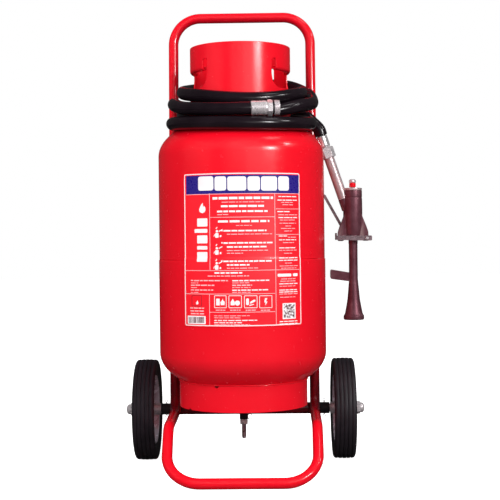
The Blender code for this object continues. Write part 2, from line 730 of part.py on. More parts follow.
def gauge():
    """Gauge on the left of the valve, dial facing up."""
    case = turned("gauge_case", GAUGE_CASE, 24, "brass", at=GAUGE_AXIS)
    stub = plug(0.0048, 0.0170, 0.0270, 12, at=(0, AXIS_Y, 0.7365), axis=(-1, 0, 0))
    join(case, stub)
    turned("gauge_dial", ring(0.0012, GLASS_R, DIAL_Z, 0.7342), 20, "white", at=GAUGE_AXIS)
    turned("gauge_lens", rod(GLASS_R, 0.7410, 0.7430), 20, "clear", at=GAUGE_AXIS)
    needle = turned("gauge_needle", rod(0.0009, DIAL_Z, 0.7372), 8, "red", at=GAUGE_AXIS,
                    origin=NEEDLE)
    towards_back = Matrix.Translation(NEEDLE) @ Matrix.Rotation(radians(90), 4, 'Z')
    join(needle, prism("tool", POINTER, 0.0008, None, towards_back))


# ------------------------------------------------------------------ hose
HOSE_R = 0.0122
# (degrees from the front towards the left, radius from the shell axis, z)
COIL = [
    # first turn, from the inlet fitting round the left
    (-9, 0.1385, 0.6830), (12, 0.1390, 0.6825), (45, 0.1362, 0.6885),
    (90, 0.1270, 0.7070), (135, 0.1290, 0.7020), (180, 0.1340, 0.7030),
    (225, 0.1280, 0.7090), (250, 0.1130, 0.7235), (270, 0.1165, 0.7270),
    (292, 0.1165, 0.7190), (325, 0.1130, 0.7070),
    # second turn, highest, on the collar
    (360, 0.1118, 0.7040), (405, 0.1110, 0.7145), (450, 0.1107, 0.7300),
    (495, 0.1110, 0.7450), (540, 0.1120, 0.7560), (585, 0.1210, 0.7510),
    (610, 0.1375, 0.7300), (630, 0.1380, 0.7080), (660, 0.1325, 0.6950),
    (690, 0.1175, 0.6800),
    # third turn, against the collar foot
    (720, 0.1115, 0.6785), (765, 0.1107, 0.6790), (810, 0.1107, 0.6850),
    (855, 0.1107, 0.6810), (900, 0.1107, 0.6810), (945, 0.1135, 0.6800),
    (970, 0.1240, 0.6750), (990, 0.1330, 0.6690), (1020, 0.1415, 0.6600),
    (1050, 0.1465, 0.6560),
    # fourth turn, lowest, on the shoulder
    (1080, 0.1480, 0.6555), (1125, 0.1425, 0.6610), (1170, 0.1300, 0.6688),
    (1215, 0.1360, 0.6690), (1260, 0.1420, 0.6700), (1290, 0.1440, 0.6740),
]
# (x, y, z) from the coil down into the gun's nipple
TAIL = [Vector((0.1020, 0.2730, 0.6840)), Vector((0.1270, 0.2490, 0.6870)),
        Vector((0.1425, 0.2435, 0.6740)), SWIVEL - GUN_DOWN * 0.0605,
        SWIVEL - GUN_DOWN * 0.0470]
# (radius, distance from the hose end)
INLET_NIPPLE = [(0.0045, GAP), (0.0070, GAP), (0.0070, 0.0427), (0.0138, 0.0427),
                (0.0138, 0.0515), (0.0128, 0.0525), (0.0045, 0.0525)]


def coil_point(degrees, r, z):
    return Vector(around_shell(r, -radians(degrees), z))


def tail_station(p):
    """Coil coordinates of a point, counted on the fourth turn."""
    angle = atan2(-p.x, AXIS_Y - p.y) % (2 * pi)
    return (3 * 360 + angle * 180 / pi, sqrt(p.x ** 2 + (p.y - AXIS_Y) ** 2), p.z)


def hose():
    stations = catmull(COIL + [tail_station(p) for p in TAIL], 3)
    path = [coil_point(*station) for station in stations]
    finish("hose", tube_bm(path, HOSE_R, 8, phase=0.5), "black")
    inlet_fitting(path[0], (path[0] - path[1]).normalized())


def inlet_fitting(end, out):
    """Fitting at the free end of the hose, pointing right."""
    along = dict(at=end, axis=out)
    turned("inlet_ferrule", ring(0.0075, 0.0133, GAP, 0.0300), 20, "zinc", **along)
    turned("inlet_nipple", INLET_NIPPLE, 20, "zinc", **along)
    turned("inlet_nut", ring(0.0084, 0.0150, 0.0304, 0.0395), 6, "zinc",
           origin=end + out * 0.035, **along)
    torus("inlet_oring", 0.0125, 0.0012, 20, "rubber", at=end + out * 0.0411, axis=out)


# ------------------------------------------------------------------ discharge gun
GUN_AXIS = (GUN_X, GUN_Y, 0)
SPINDLE_ORIGIN = (GUN_X, GUN_Y, 0.56)
BODY_TOP = 0.5400
BODY_BOTTOM = 0.4440
CHAMBER_FLOOR = BODY_BOTTOM + 0.0160
GUN_TUBE_LENGTH = 0.0850
SOCKET = dict(at=SWIVEL + GUN_DOWN * (GUN_TUBE_LENGTH + GAP), axis=GUN_DOWN)
SOCKET_R = 0.0105
FULCRUM = Vector((GUN_X + 0.0262, GUN_Y, 0.4455))

# (radius, distance down the tube from the swivel)
GUN_NIPPLE = [(0.0040, -0.0465), (0.0085, -0.0465), (0.0085, -0.0215),
              (0.0057, -0.0215), (0.0057, -0.0040), (0.0040, -0.0040)]
# (radius, distance behind the gun axis)
FULCRUM_PIN = [(0, -0.0260), (0.0030, -0.0260), (0.0030, -0.0232), (0.0018, -0.0230),
               (0.0018, 0.0240), (0, 0.0240)]
# (radius, z)
GUN_BODY = [(0.0062, BODY_BOTTOM), (0.0150, BODY_BOTTOM + 0.0020),
            (0.0170, BODY_BOTTOM + 0.0120), (0.0188, 0.4750), (0.0190, 0.5050),
            (0.0186, BODY_TOP), (0.0090, BODY_TOP), (0.0090, CHAMBER_FLOOR),
            (0.0062, BODY_BOTTOM + 0.0120)]
SPINDLE = [(0, 0.4550), (0.0040, 0.4602), (0.0080, 0.4614), (0.0080, 0.4660),
           (0.0034, 0.4670), (0.0034, 0.5553), (0.0068, 0.5556), (0.0070, 0.5600),
           (0.0046, 0.5622), (0, 0.5622)]
NOZZLE = [(0.0070, 0.3640), (0.0105, 0.3250), (0.0150, 0.2985), (0.0170, 0.2840),
          (0.0188, 0.2840), (0.0204, 0.2860), (0.0204, 0.2925), (0.0172, 0.2985),
          (0.0124, 0.3250), (0.0088, 0.3640), (0.0090, 0.4300), (0.0088, 0.4437),
          (0.0058, 0.4437), (0.0058, 0.4530), (0.0045, 0.4530)]
# (x from the gun axis, z) front views
BODY_EAR = [(0.0120, 0.4980), (0.0190, 0.4870), (0.0300, 0.4600), (0.0300, 0.4400),
            (0.0200, 0.4400), (0.0120, 0.4480)]
HANG_LUG = [(-0.0076, 0.3600), (-0.0440, 0.3650), (-0.0460, 0.3685), (-0.0460, 0.3810),
            (-0.0440, 0.3838), (-0.0076, 0.3775)]
LEVER_CHEEK = [(0.0360, 0.4405), (0.0360, 0.4505), (-0.0345, 0.4505), (-0.0345, 0.4425),
               (0.0250, 0.4405)]
LEVER_CROSS = [(-0.0346, 0.4440), (-0.0346, 0.4560), (-0.0326, 0.4560), (-0.0326, 0.4440)]
LEVER_STRAP = [(-0.0121, 0.4470), (-0.0586, 0.5315), (-0.0570, 0.5340),
               (-0.0534, 0.5345), (-0.0072, 0.4500)]
CHEEK_T = 0.0020
CHEEK_Y = 0.0195


def fulcrum_hole():
    return plug(0.0022, -0.04, 0.04, 10, at=FULCRUM, axis=(0, 1, 0))


def gun_inlet():
    """Nipple, swivel nut and the slanting tube into the body."""
    down = dict(at=SWIVEL, axis=GUN_DOWN)
    turned("gun_nipple", GUN_NIPPLE, 16, "zinc", **down)
    turned("gun_swivel_nut", ring(0.0070, 0.0148, -0.0210, 0.0000), 6, "zinc",
           origin=SWIVEL, **down)
    path = [SWIVEL + GUN_DOWN * GAP, SWIVEL + GUN_DOWN * GUN_TUBE_LENGTH]
    bm = tube_bm(path, 0.0100, 16, bore=0.0072, up=(0, 1, 0))
    finish("gun_tube", bm, "steel", origin=SWIVEL)


def gun_body():
    body = turned("gun_body", GUN_BODY, 20, "bronze", at=GUN_AXIS, origin=SWIVEL)
    for sign, _ in SIDES:
        ear = [(sign * x, z) for x, z in BODY_EAR]
        join(body, slab_gun("tool", ear, 0.0200, None))
    # side boss that takes the tube, then the tube's socket and the chamber
    join(body, plug(0.0103, 0.0000, 0.0230, 16, **SOCKET))
    cut(body, plug(SOCKET_R, -0.0450, 0.0000, 16, **SOCKET))
    cut(body, plug(0.0089, CHAMBER_FLOOR, BODY_TOP + 0.002, 20, at=GUN_AXIS))
    cut(body, fulcrum_hole())


def gun_fittings():
    turned("lever_fulcrum_pin", FULCRUM_PIN, 10, "zinc", at=FULCRUM, axis=(0, 1, 0),
           origin=SWIVEL)
    cap = turned("gun_cap", ring(0.0039, 0.0186, BODY_TOP + GAP, BODY_TOP + 0.0048),
                 20, "steel", at=GUN_AXIS, origin=SWIVEL)
    cut(cap, plug(SOCKET_R, -0.0600, 0.0000, 16, **SOCKET))
    turned("gun_spindle", SPINDLE, 14, "zinc", at=GUN_AXIS, origin=SPINDLE_ORIGIN)
    turned("gun_knob", ring(0.0037, 0.0066, 0.5462, 0.5549), 8, "red", at=GUN_AXIS,
           origin=SPINDLE_ORIGIN)
    spring("gun_spring", 0.0062, 0.4675, 0.5390, 7.0, at=GUN_AXIS)


def nozzle():
    """Flared nozzle below the body, with a lug on its left."""
    piece = turned("nozzle", NOZZLE, 20, "bronze", at=GUN_AXIS, origin=SWIVEL)
    join(piece, slab_gun("tool", HANG_LUG, 0.0060, None))


def gun_lever():
    """Two cheeks astride the body, a cross plate on the left and a rising strap behind."""
    lever = slab_gun("gun_lever", LEVER_CHEEK, CHEEK_T, "zinc", y=-CHEEK_Y, origin=FULCRUM)
    join(lever, slab_gun("tool", LEVER_CHEEK, CHEEK_T, None, y=CHEEK_Y))
    join(lever, slab_gun("tool", LEVER_CROSS, 0.0400, None))
    join(lever, slab_gun("tool", LEVER_STRAP, 0.0055, None, y=0.01995))
    cut(lever, fulcrum_hole())


# ------------------------------------------------------------------ build
shell_upper()
shell_lower()
neck_boss()
collar()
foot_ring()
label()
frame_tube()
axle()
for wheel_sign, wheel_side in SIDES:
    wheel(wheel_sign, wheel_side)
saddle("saddle_upper", 0.545, UPPER_R)
saddle("saddle_lower", 0.240, SHELL_R)
base()
valve_body()
valve_fittings()
valve_lever()
carry_handle()
safety_pin()
gauge()
hose()
gun_inlet()
gun_body()
gun_fittings()
nozzle()
gun_lever()
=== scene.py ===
import json
import random
from math import sin, cos, tan, pi, radians, sqrt, acos, asin, atan2, degrees, hypot

import bpy
import bmesh
from mathutils import Vector, Matrix


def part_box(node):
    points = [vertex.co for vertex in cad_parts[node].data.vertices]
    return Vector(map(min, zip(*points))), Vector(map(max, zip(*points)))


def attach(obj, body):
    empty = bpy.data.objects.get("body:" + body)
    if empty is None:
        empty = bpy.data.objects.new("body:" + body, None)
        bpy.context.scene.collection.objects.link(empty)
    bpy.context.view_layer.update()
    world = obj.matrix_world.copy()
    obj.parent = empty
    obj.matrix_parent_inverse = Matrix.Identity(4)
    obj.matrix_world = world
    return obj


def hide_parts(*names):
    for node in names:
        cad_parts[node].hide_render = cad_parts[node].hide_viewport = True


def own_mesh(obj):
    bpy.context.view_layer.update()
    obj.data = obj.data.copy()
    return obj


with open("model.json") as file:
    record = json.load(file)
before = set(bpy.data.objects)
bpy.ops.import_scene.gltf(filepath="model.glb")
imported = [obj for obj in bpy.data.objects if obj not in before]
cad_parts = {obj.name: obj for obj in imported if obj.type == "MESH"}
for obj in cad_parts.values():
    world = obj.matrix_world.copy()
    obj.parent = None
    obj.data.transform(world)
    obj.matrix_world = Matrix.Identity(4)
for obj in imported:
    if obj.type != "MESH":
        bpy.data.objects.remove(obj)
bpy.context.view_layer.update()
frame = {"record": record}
random.seed(7)

GAP = 0.0003
BODY_OF = {n: b for b, ns in frame["record"]["behaviour"]["bodies"].items() for n in ns}
SLOT_OF = {s["node"]: s["material_slot"] for s in frame["record"]["subparts"]}

# ---------------------------------------------------------------- key sizes
AXIS_Y = 0.175
SHELL_R = 0.160
UPPER_R = 0.1590
WALL = 0.0025
STRAIGHT_BOTTOM = 0.230
STRAIGHT_TOP = 0.605
HEAD_DEPTH = 0.080
SEAM_Z = 0.408
NECK_TOP = 0.7050
COLLAR_R = 0.0965
COLLAR_WALL = 0.0030
COLLAR_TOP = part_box("collar")[1].z
WINDOW_TOP = 0.7605
WINDOW_BOTTOM = 0.7300
FRONT_PANEL_HALF = radians(39.3)
SIDE_WINDOW_END = radians(109.0)
BACK_WINDOW_HALF = radians(43.7)
SLOT_TOP = 0.7840
FOOT_R = 0.1230
FOOT_WALL = 0.0030
FOOT_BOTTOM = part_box("foot_ring")[0].z
TUBE_R = 0.010
HALF_UP = 0.141
HALF_FOOT = 0.1370
TOP_Z = 0.9034
TOP_Y = 0.340
BEND_Y = 0.2775
BEND_Z = 0.0970
ARM_Y = 0.090
AXLE_Y = 0.3010
AXLE_Z = 0.1015
AXLE_R = 0.0080
BEAM_R = 0.0115
BEAM_BORE = 0.0087
SLEEVE_IN = 0.1510
SLEEVE_OUT = 0.1710
COTTER_X = 0.1605
WHEEL_X = 0.1990
WHEEL_R = 0.1011
HOSE_R = 0.0124
GUN_Y = 0.242
GUN_X = 0.2187
GUN_TILT = radians(18.6)
SWIVEL = Vector((0.1729, GUN_Y, 0.6048))
GD = Vector((sin(GUN_TILT), 0, -cos(GUN_TILT)))
AX = (0, AXIS_Y, 0)


# ---------------------------------------------------------------- materials
def nodes_of(name):
    m = bpy.data.materials.new(name)
    m.use_nodes = True
    nt = m.node_tree
    return m, nt, nt.nodes["Principled BSDF"]


def new(nt, kind, **inputs):
    n = nt.nodes.new(kind)
    for k, v in inputs.items():
        n.inputs[k.replace("_", " ")].default_value = v
    return n


def coords(nt, scale=(1, 1, 1)):
    tc = nt.nodes.new("ShaderNodeTexCoord")
    mp = nt.nodes.new("ShaderNodeMapping")
    mp.inputs["Scale"].default_value = scale
    nt.links.new(tc.outputs["Object"], mp.inputs["Vector"])
    return mp.outputs["Vector"]


def noise(nt, vec, scale, detail=3.0, rough=0.5):
    n = nt.nodes.new("ShaderNodeTexNoise")
    n.inputs["Scale"].default_value = scale
    n.inputs["Detail"].default_value = detail
    n.inputs["Roughness"].default_value = rough
    nt.links.new(vec, n.inputs["Vector"])
    return n.outputs["Fac"]


def ramp(nt, fac, stops):
    r = nt.nodes.new("ShaderNodeValToRGB")
    e = r.color_ramp.elements
    e[0].position, e[0].color = stops[0][0], (*stops[0][1], 1)
    e[1].position, e[1].color = stops[-1][0], (*stops[-1][1], 1)
    for p, c in stops[1:-1]:
        el = e.new(p)
        el.color = (*c, 1)
    nt.links.new(fac, r.inputs["Fac"])
    return r.outputs["Color"]


def mix(nt, fac, a, b):
    m = nt.nodes.new("ShaderNodeMix")
    m.data_type = 'RGBA'
    if hasattr(fac, "links") or hasattr(fac, "is_output"):
        nt.links.new(fac, m.inputs[0])
    else:
        m.inputs[0].default_value = fac
    for s, v in ((6, a), (7, b)):
        if hasattr(v, "is_output"):
            nt.links.new(v, m.inputs[s])
        else:
            m.inputs[s].default_value = (*v, 1)
    return m.outputs[2]


def maprange(nt, fac, lo, hi, a=0.0, b=1.0):
    m = nt.nodes.new("ShaderNodeMapRange")
    m.inputs["From Min"].default_value = a
    m.inputs["From Max"].default_value = b
    m.inputs["To Min"].default_value = lo
    m.inputs["To Max"].default_value = hi
    nt.links.new(fac, m.inputs["Value"])
    return m.outputs["Result"]


def bump(nt, b, height, strength, dist):
    n = nt.nodes.new("ShaderNodeBump")
    n.inputs["Strength"].default_value = strength
    n.inputs["Distance"].default_value = dist
    nt.links.new(height, n.inputs["Height"])
    nt.links.new(n.outputs["Normal"], b.inputs["Normal"])
    return n


def red_paint(name="red_paint", tint=(0.80, 0.0030, 0.0130), rough=0.24, coat=0.25, painted_shade=False):
    """Stoved powder coat: faint orange peel, slight tone drift, thin dust in the roughness."""
    m, nt, b = nodes_of(name)
    v = coords(nt)
    tone = noise(nt, v, 5.0, 4.0)
    dark = tuple(c * 0.95 for c in tint)
    light = (min(1, tint[0] * 1.05), tint[1] * 1.3, tint[2] * 1.3)
    col = ramp(nt, tone, [(0.30, dark), (0.70, light)])
    if painted_shade:
        # painted shade: the colour darkens to a deep red where ambient occlusion finds nearby parts, as where the tube
        # runs close behind the cylinder; the front arms and foot bar stay full red
        ao = nt.nodes.new("ShaderNodeAmbientOcclusion")
        ao.samples = 6
        ao.inputs["Distance"].default_value = 0.30
        open_ = maprange(nt, ao.outputs["AO"], 0.0, 1.0, 0.34, 0.92)
        gp = nt.nodes.new("ShaderNodeNewGeometry")
        sp = nt.nodes.new("ShaderNodeSeparateXYZ")
        nt.links.new(gp.outputs["Position"], sp.inputs[0])
        front = maprange(nt, sp.outputs["Y"], 1.0, 0.0, 0.215, 0.262)
        mx = nt.nodes.new("ShaderNodeMath")
        mx.operation = 'MAXIMUM'
        nt.links.new(open_, mx.inputs[0])
        nt.links.new(front, mx.inputs[1])
        # mix in the painted shade colour where the surface is occluded and lies behind the front arms
        col = mix(nt, mx.outputs[0], (tint[0] * 0.10, tint[1] * 0.35, tint[2] * 0.30), col)
    nt.links.new(col, b.inputs["Base Color"])
    fine = noise(nt, v, 90.0, 5.0, 0.65)
    nt.links.new(maprange(nt, fine, rough - 0.03, rough + 0.04, 0.3, 0.7), b.inputs["Roughness"])
    b.inputs["Coat Weight"].default_value = coat
    b.inputs["Coat Roughness"].default_value = 0.10
    b.inputs["Specular IOR Level"].default_value = 0.45
    peel = noise(nt, v, 420.0, 2.0)
    bump(nt, b, peel, 0.05, 0.0004)
    return m


def black_rubber(name="hose_rubber", base=(0.006, 0.003, 0.005), rough=0.17, grain=260.0, strength=0.012):
    m, nt, b = nodes_of(name)
    v = coords(nt)
    t = noise(nt, v, 30.0, 5.0)
    col = ramp(nt, t, [(0.3, base), (0.75, tuple(c * 1.6 + 0.002 for c in base))])
    nt.links.new(col, b.inputs["Base Color"])
    g = noise(nt, v, grain, 4.0, 0.6)
    nt.links.new(maprange(nt, g, rough, rough + 0.08, 0.3, 0.7), b.inputs["Roughness"])
    b.inputs["Specular IOR Level"].default_value = 0.50
    bump(nt, b, g, strength, 0.0004)
    return m


def metal(name, base, rough, stretch=(1, 1, 1), scale=180.0, var=0.12, strength=0.08, metallic=1.0, dirt=0.25):
    """Plated or machined metal with streaky roughness and faint stains."""
    m, nt, b = nodes_of(name)
    v = coords(nt, stretch)
    streak = noise(nt, v, scale, 5.0, 0.6)
    v2 = coords(nt)
    stain = noise(nt, v2, 55.0, 6.0, 0.7)
    dark = tuple(c * (1 - dirt) for c in base)
    col = ramp(nt, stain, [(0.32, dark), (0.58, base)])
    nt.links.new(col, b.inputs["Base Color"])
    nt.links.new(maprange(nt, streak, max(0.05, rough - var), rough + var, 0.3, 0.7), b.inputs["Roughness"])
    b.inputs["Metallic"].default_value = metallic
    bump(nt, b, streak, strength, 0.0003)
    return m


def gun_coat(name="gun_coat"):
    """Brown-bronze anodised casting with lighter rubbed edges."""
    m, nt, b = nodes_of(name)
    v = coords(nt)
    t = noise(nt, v, 45.0, 6.0, 0.65)
    col = ramp(nt, t, [(0.30, (0.120, 0.030, 0.045)), (0.55, (0.175, 0.060, 0.080)), (0.78, (0.25, 0.11, 0.13))])
    geo = nt.nodes.new("ShaderNodeNewGeometry")
    edge = maprange(nt, geo.outputs["Pointiness"], 0.0, 0.75, 0.52, 0.62)
    col = mix(nt, edge, col, (0.42, 0.27, 0.27))
    nt.links.new(col, b.inputs["Base Color"])
    b.inputs["Metallic"].default_value = 0.60
    g = noise(nt, v, 500.0, 4.0)
    nt.links.new(maprange(nt, g, 0.30, 0.48, 0.3, 0.7), b.inputs["Roughness"])
    bump(nt, b, g, 0.18, 0.0004)
    return m


def plain(name, base, rough, spec=0.4, bumpy=0.04, scale=300.0, drift=0.10, coat=0.0):
    m, nt, b = nodes_of(name)
    v = coords(nt)
    t = noise(nt, v, 14.0, 4.0)
    col = ramp(nt, t, [(0.3, tuple(c * (1 - drift) for c in base)), (0.7, tuple(min(1, c * (1 + drift * 0.4)) for c in base))])
    nt.links.new(col, b.inputs["Base Color"])
    g = noise(nt, v, scale, 3.0)
    nt.links.new(maprange(nt, g, rough - 0.05, rough + 0.05, 0.3, 0.7), b.inputs["Roughness"])
    b.inputs["Specular IOR Level"].default_value = spec
    b.inputs["Coat Weight"].default_value = coat
    bump(nt, b, g, bumpy, 0.0003)
    return m


def glass(name):
    m, nt, b = nodes_of(name)
    v = coords(nt)
    b.inputs["Base Color"].default_value = (0.96, 0.98, 1, 1)
    b.inputs["Transmission Weight"].default_value = 1.0
    b.inputs["IOR"].default_value = 1.46
    g = noise(nt, v, 200.0, 3.0)
    nt.links.new(maprange(nt, g, 0.02, 0.08, 0.3, 0.7), b.inputs["Roughness"])
    return m


RED = red_paint()
M = {
    "red_paint": RED,
    "black_paint": plain("black_paint", (0.012, 0.010, 0.012), 0.38, bumpy=0.10),
    "hose_rubber": black_rubber(),
    "tyre_rubber": black_rubber("tyre_rubber", (0.010, 0.007, 0.010), 0.50, 700.0, 0.30),
    "zinc_plate": metal("zinc_plate", (0.84, 0.77, 0.79), 0.28, scale=120.0, metallic=0.60, dirt=0.15),
    "bare_steel": metal("bare_steel", (0.62, 0.55, 0.57), 0.34, stretch=(1, 1, 6), scale=90.0, metallic=0.70),
    "brass": metal("brass", (0.72, 0.52, 0.22), 0.28),
    "gun_coat": gun_coat(),
    "label_film": plain("label_film", (0.95, 0.008, 0.020), 0.36, bumpy=0.02, coat=0.15, drift=0.04),
    "dial_card": plain("dial_card", (0.82, 0.82, 0.80), 0.5),
    "lens": glass("lens"),
}
# red_shaded carries painted shade from ambient occlusion, used on the frame tube, axle beam, saddles and base strap
M["red_shaded"] = red_paint("red_shaded", rough=0.17, coat=0.4, painted_shade=True)
M["print_white"] = plain("print_white", (0.90, 0.84, 0.85), 0.42, bumpy=0.02)
M["print_soft"] = plain("print_soft", (0.90, 0.50, 0.53), 0.42, bumpy=0.02)
M["print_navy"] = plain("print_navy", (0.022, 0.012, 0.20), 0.30, bumpy=0.02, coat=0.3)
M["print_dark"] = plain("print_dark", (0.10, 0.02, 0.03), 0.42, bumpy=0.02)
M["polished"] = metal("polished", (0.93, 0.90, 0.91), 0.16, scale=60.0, var=0.05, strength=0.02, metallic=0.75, dirt=0.06)
M["dark_zinc"] = metal("dark_zinc", (0.40, 0.28, 0.31), 0.30, scale=120.0, metallic=0.70, dirt=0.30)
M["gun_steel"] = metal("gun_steel", (0.64, 0.49, 0.50), 0.36, stretch=(1, 1, 0.12), scale=320.0, strength=0.10, metallic=0.60, dirt=0.15)
M["rim_plate"] = metal("rim_plate", (0.80, 0.73, 0.82), 0.24, scale=70.0, metallic=0.35, dirt=0.15)


# ---------------------------------------------------------------- mesh helpers
def finish(name, bm, mat, body, nodes=(), slot=None, angle=35, bevel=None, segs=2, subsurf=0):
    bmesh.ops.remove_doubles(bm, verts=bm.verts, dist=1e-7)
    bmesh.ops.recalc_face_normals(bm, faces=bm.faces)
    me = bpy.data.meshes.new(name)
    bm.to_mesh(me)
    bm.free()
    ob = bpy.data.objects.new(name, me)
    bpy.context.scene.collection.objects.link(ob)
    me.materials.append(M[mat] if isinstance(mat, str) else mat)
    me.shade_smooth()
    me.set_sharp_from_angle(angle=radians(angle))
    if bevel:
        bv = ob.modifiers.new("edge", 'BEVEL')
        bv.width = bevel
        bv.segments = segs
        bv.limit_method = 'ANGLE'
        bv.angle_limit = radians(32)
        bv.harden_normals = True
    if subsurf:
        ss = ob.modifiers.new("sub", 'SUBSURF')
        ss.levels = ss.render_levels = subsurf
    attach(ob, body)
    if nodes:
        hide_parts(*nodes)
        slot = slot or SLOT_OF[nodes[0]]
    return ob


def turned_bm(profile, segs, phase=0.5):
    bm = bmesh.new()
    rings = []
    for r, z in profile:
        if r < 1e-9:
            rings.append([bm.verts.new((0, 0, z))])
        else:
            rings.append([bm.verts.new((r * cos(2 * pi * (i + phase) / segs),
                                        r * sin(2 * pi * (i + phase) / segs), z))
                          for i in range(segs)])
    closed = profile[0][0] > 1e-9 and profile[-1][0] > 1e-9
    pairs = [(i, i + 1) for i in range(len(rings) - 1)]
    if closed:
        pairs.append((len(rings) - 1, 0))
    for a, b in pairs:
        ra, rb = rings[a], rings[b]
        if len(ra) == 1 and len(rb) == 1:
            continue
        for i in range(segs):
            j = (i + 1) % segs
            if len(ra) == 1:
                bm.faces.new((ra[0], rb[j], rb[i]))
            elif len(rb) == 1:
                bm.faces.new((ra[i], ra[j], rb[0]))
            else:
                bm.faces.new((ra[i], ra[j], rb[j], rb[i]))
    return bm


def soften(profile, r, n=3, closed=None):
    """Round every corner of an (r, z) outline with a small arc."""
    pts = [Vector((p[0], p[1])) for p in profile]
    ring = profile[0][0] > 1e-9 and profile[-1][0] > 1e-9 if closed is None else closed
    out = []
    m = len(pts)
    for i, p in enumerate(pts):
        if not ring and i in (0, m - 1):
            out.append(tuple(p))
            continue
        a, b = pts[i - 1] - p, pts[(i + 1) % m] - p
        la, lb = a.length, b.length
        if la < 1e-9 or lb < 1e-9:
            continue
        ang = a.angle(b)
        if ang > radians(172) or ang < radians(4):
            out.append(tuple(p))
            continue
        t = min(r / tan(ang / 2), la * 0.45, lb * 0.45)
        s, e = p + a.normalized() * t, p + b.normalized() * t
        for j in range(n + 1):
            u = j / n
            q = s * (1 - u) ** 2 + p * 2 * u * (1 - u) + e * u ** 2
            out.append((q.x, q.y))
    return out


def to_axis(direction, at):
    q = Vector(direction).normalized().to_track_quat('Z', 'Y')
    return Matrix.Translation(Vector(at)) @ q.to_matrix().to_4x4()


def turned(name, profile, mat, body, nodes=(), segs=96, at=(0, 0, 0), axis=(0, 0, 1), soft=0.0, slot=None, angle=30):
    if soft:
        profile = soften(profile, soft)
    bm = turned_bm(profile, segs)
    bm.transform(to_axis(axis, at))
    return finish(name, bm, mat, body, nodes, slot, angle)


def rod(r, z0, z1, c=0.0):
    if c:
        return [(0, z0), (r - c, z0), (r, z0 + c), (r, z1 - c), (r - c, z1), (0, z1)]
    return [(0, z0), (r, z0), (r, z1), (0, z1)]


def ring(ri, ro, z0, z1):
    return [(ri, z0), (ro, z0), (ro, z1), (ri, z1)]


def prism_bm(outline, depth, matrix):
    bm = bmesh.new()
    f = bm.faces.new([bm.verts.new((x, y, 0)) for x, y in outline])
    res = bmesh.ops.extrude_face_region(bm, geom=[f])
    bmesh.ops.translate(bm, verts=[v for v in res["geom"] if isinstance(v, bmesh.types.BMVert)], vec=(0, 0, depth))
    bm.transform(matrix)
    return bm


def merge_bm(*bms):
    out = bmesh.new()
    for b in bms:
        me = bpy.data.meshes.new("tmp")
        b.to_mesh(me)
        b.free()
        out.from_mesh(me)
        bpy.data.meshes.remove(me)
    return out


def fillet(points, radii, closed=False, step=radians(5)):
    out = []
    n = len(points)
    for i, (p, r) in enumerate(zip(points, radii)):
        p = Vector(p)
        if not closed and i in (0, n - 1) or r <= 0:
            out.append(p)
            continue
        a = (Vector(points[i - 1]) - p).normalized()
        b = (Vector(points[(i + 1) % n]) - p).normalized()
        ang = a.angle(b)
        t = r / tan(ang / 2)
        c = p + (a + b).normalized() * (r / sin(ang / 2))
        s, e = p + a * t - c, p + b * t - c
        sweep = pi - ang
        k = max(2, int(round(sweep / step)))
        nrm = s.cross(e).normalized()
        for j in range(k + 1):
            out.append(c + Matrix.Rotation(sweep * j / k, 3, nrm) @ s)
    return out


def frames(path, up):
    res = []
    n = len(path)
    t_prev = None
    nrm = Vector(up)
    for i, p in enumerate(path):
        t = (path[min(i + 1, n - 1)] - path[max(i - 1, 0)]).normalized()
        if t_prev is not None:
            nrm = t_prev.rotation_difference(t) @ nrm
        nrm = (nrm - t * nrm.dot(t)).normalized()
        res.append((t, nrm.copy(), t.cross(nrm)))
        t_prev = t
    return res


def tube_bm(path, radius, segs, bore=0.0, up=(0, 0, 1), phase=0.0, fr=None, round_ends=0.0):
    bm = bmesh.new()
    fr = fr or frames(path, up)
    rad = radius if callable(radius) else (lambda i: radius)

    def loop(p, f, r):
        return [bm.verts.new(p + f[1] * (r * cos(2 * pi * (k + phase) / segs))
                             + f[2] * (r * sin(2 * pi * (k + phase) / segs)))
                for k in range(segs)]
    items = [(p, f, rad(i)) for i, (p, f) in enumerate(zip(path, fr))]
    if round_ends:
        c = round_ends
        p, f, r = items[0]
        head_ = [(p, f, r - c), (p + f[0] * c * 0.3, f, r - c * 0.3), (p + f[0] * c, f, r)]
        p, f, r = items[-1]
        tail_ = [(p - f[0] * c, f, r), (p - f[0] * c * 0.3, f, r - c * 0.3), (p, f, r - c)]
        items = head_ + items[1:-1] + tail_
    outer = [loop(*it) for it in items]
    inner = [loop(p, f, bore) for p, f, r in items] if bore else None
    for rings in [outer] + ([inner] if inner else []):
        for a, b in zip(rings[:-1], rings[1:]):
            for k in range(segs):
                m = (k + 1) % segs
                bm.faces.new((a[k], a[m], b[m], b[k]))
    if inner:
        for o, i_ in ((outer[0], inner[0]), (outer[-1], inner[-1])):
            for k in range(segs):
                m = (k + 1) % segs
                bm.faces.new((o[k], o[m], i_[m], i_[k]))
    else:
        bm.faces.new(outer[0])
        bm.faces.new(outer[-1])
    return bm


def torus_bm(R, r, segs, sides):
    bm = bmesh.new()
    rings = [[bm.verts.new(((R + r * cos(2 * pi * k / sides)) * cos(2 * pi * i / segs),
                            (R + r * cos(2 * pi * k / sides)) * sin(2 * pi * i / segs),
                            r * sin(2 * pi * k / sides))) for k in range(sides)]
             for i in range(segs)]
    for i in range(segs):
        a, b = rings[i], rings[(i + 1) % segs]
        for k in range(sides):
            m = (k + 1) % sides
            bm.faces.new((a[k], a[m], b[m], b[k]))
    return bm


def torus(name, R, r, mat, body, nodes, at, axis=(0, 0, 1), segs=64, sides=16, slot=None):
    bm = torus_bm(R, r, segs, sides)
    bm.transform(to_axis(axis, at))
    return finish(name, bm, mat, body, nodes, slot)


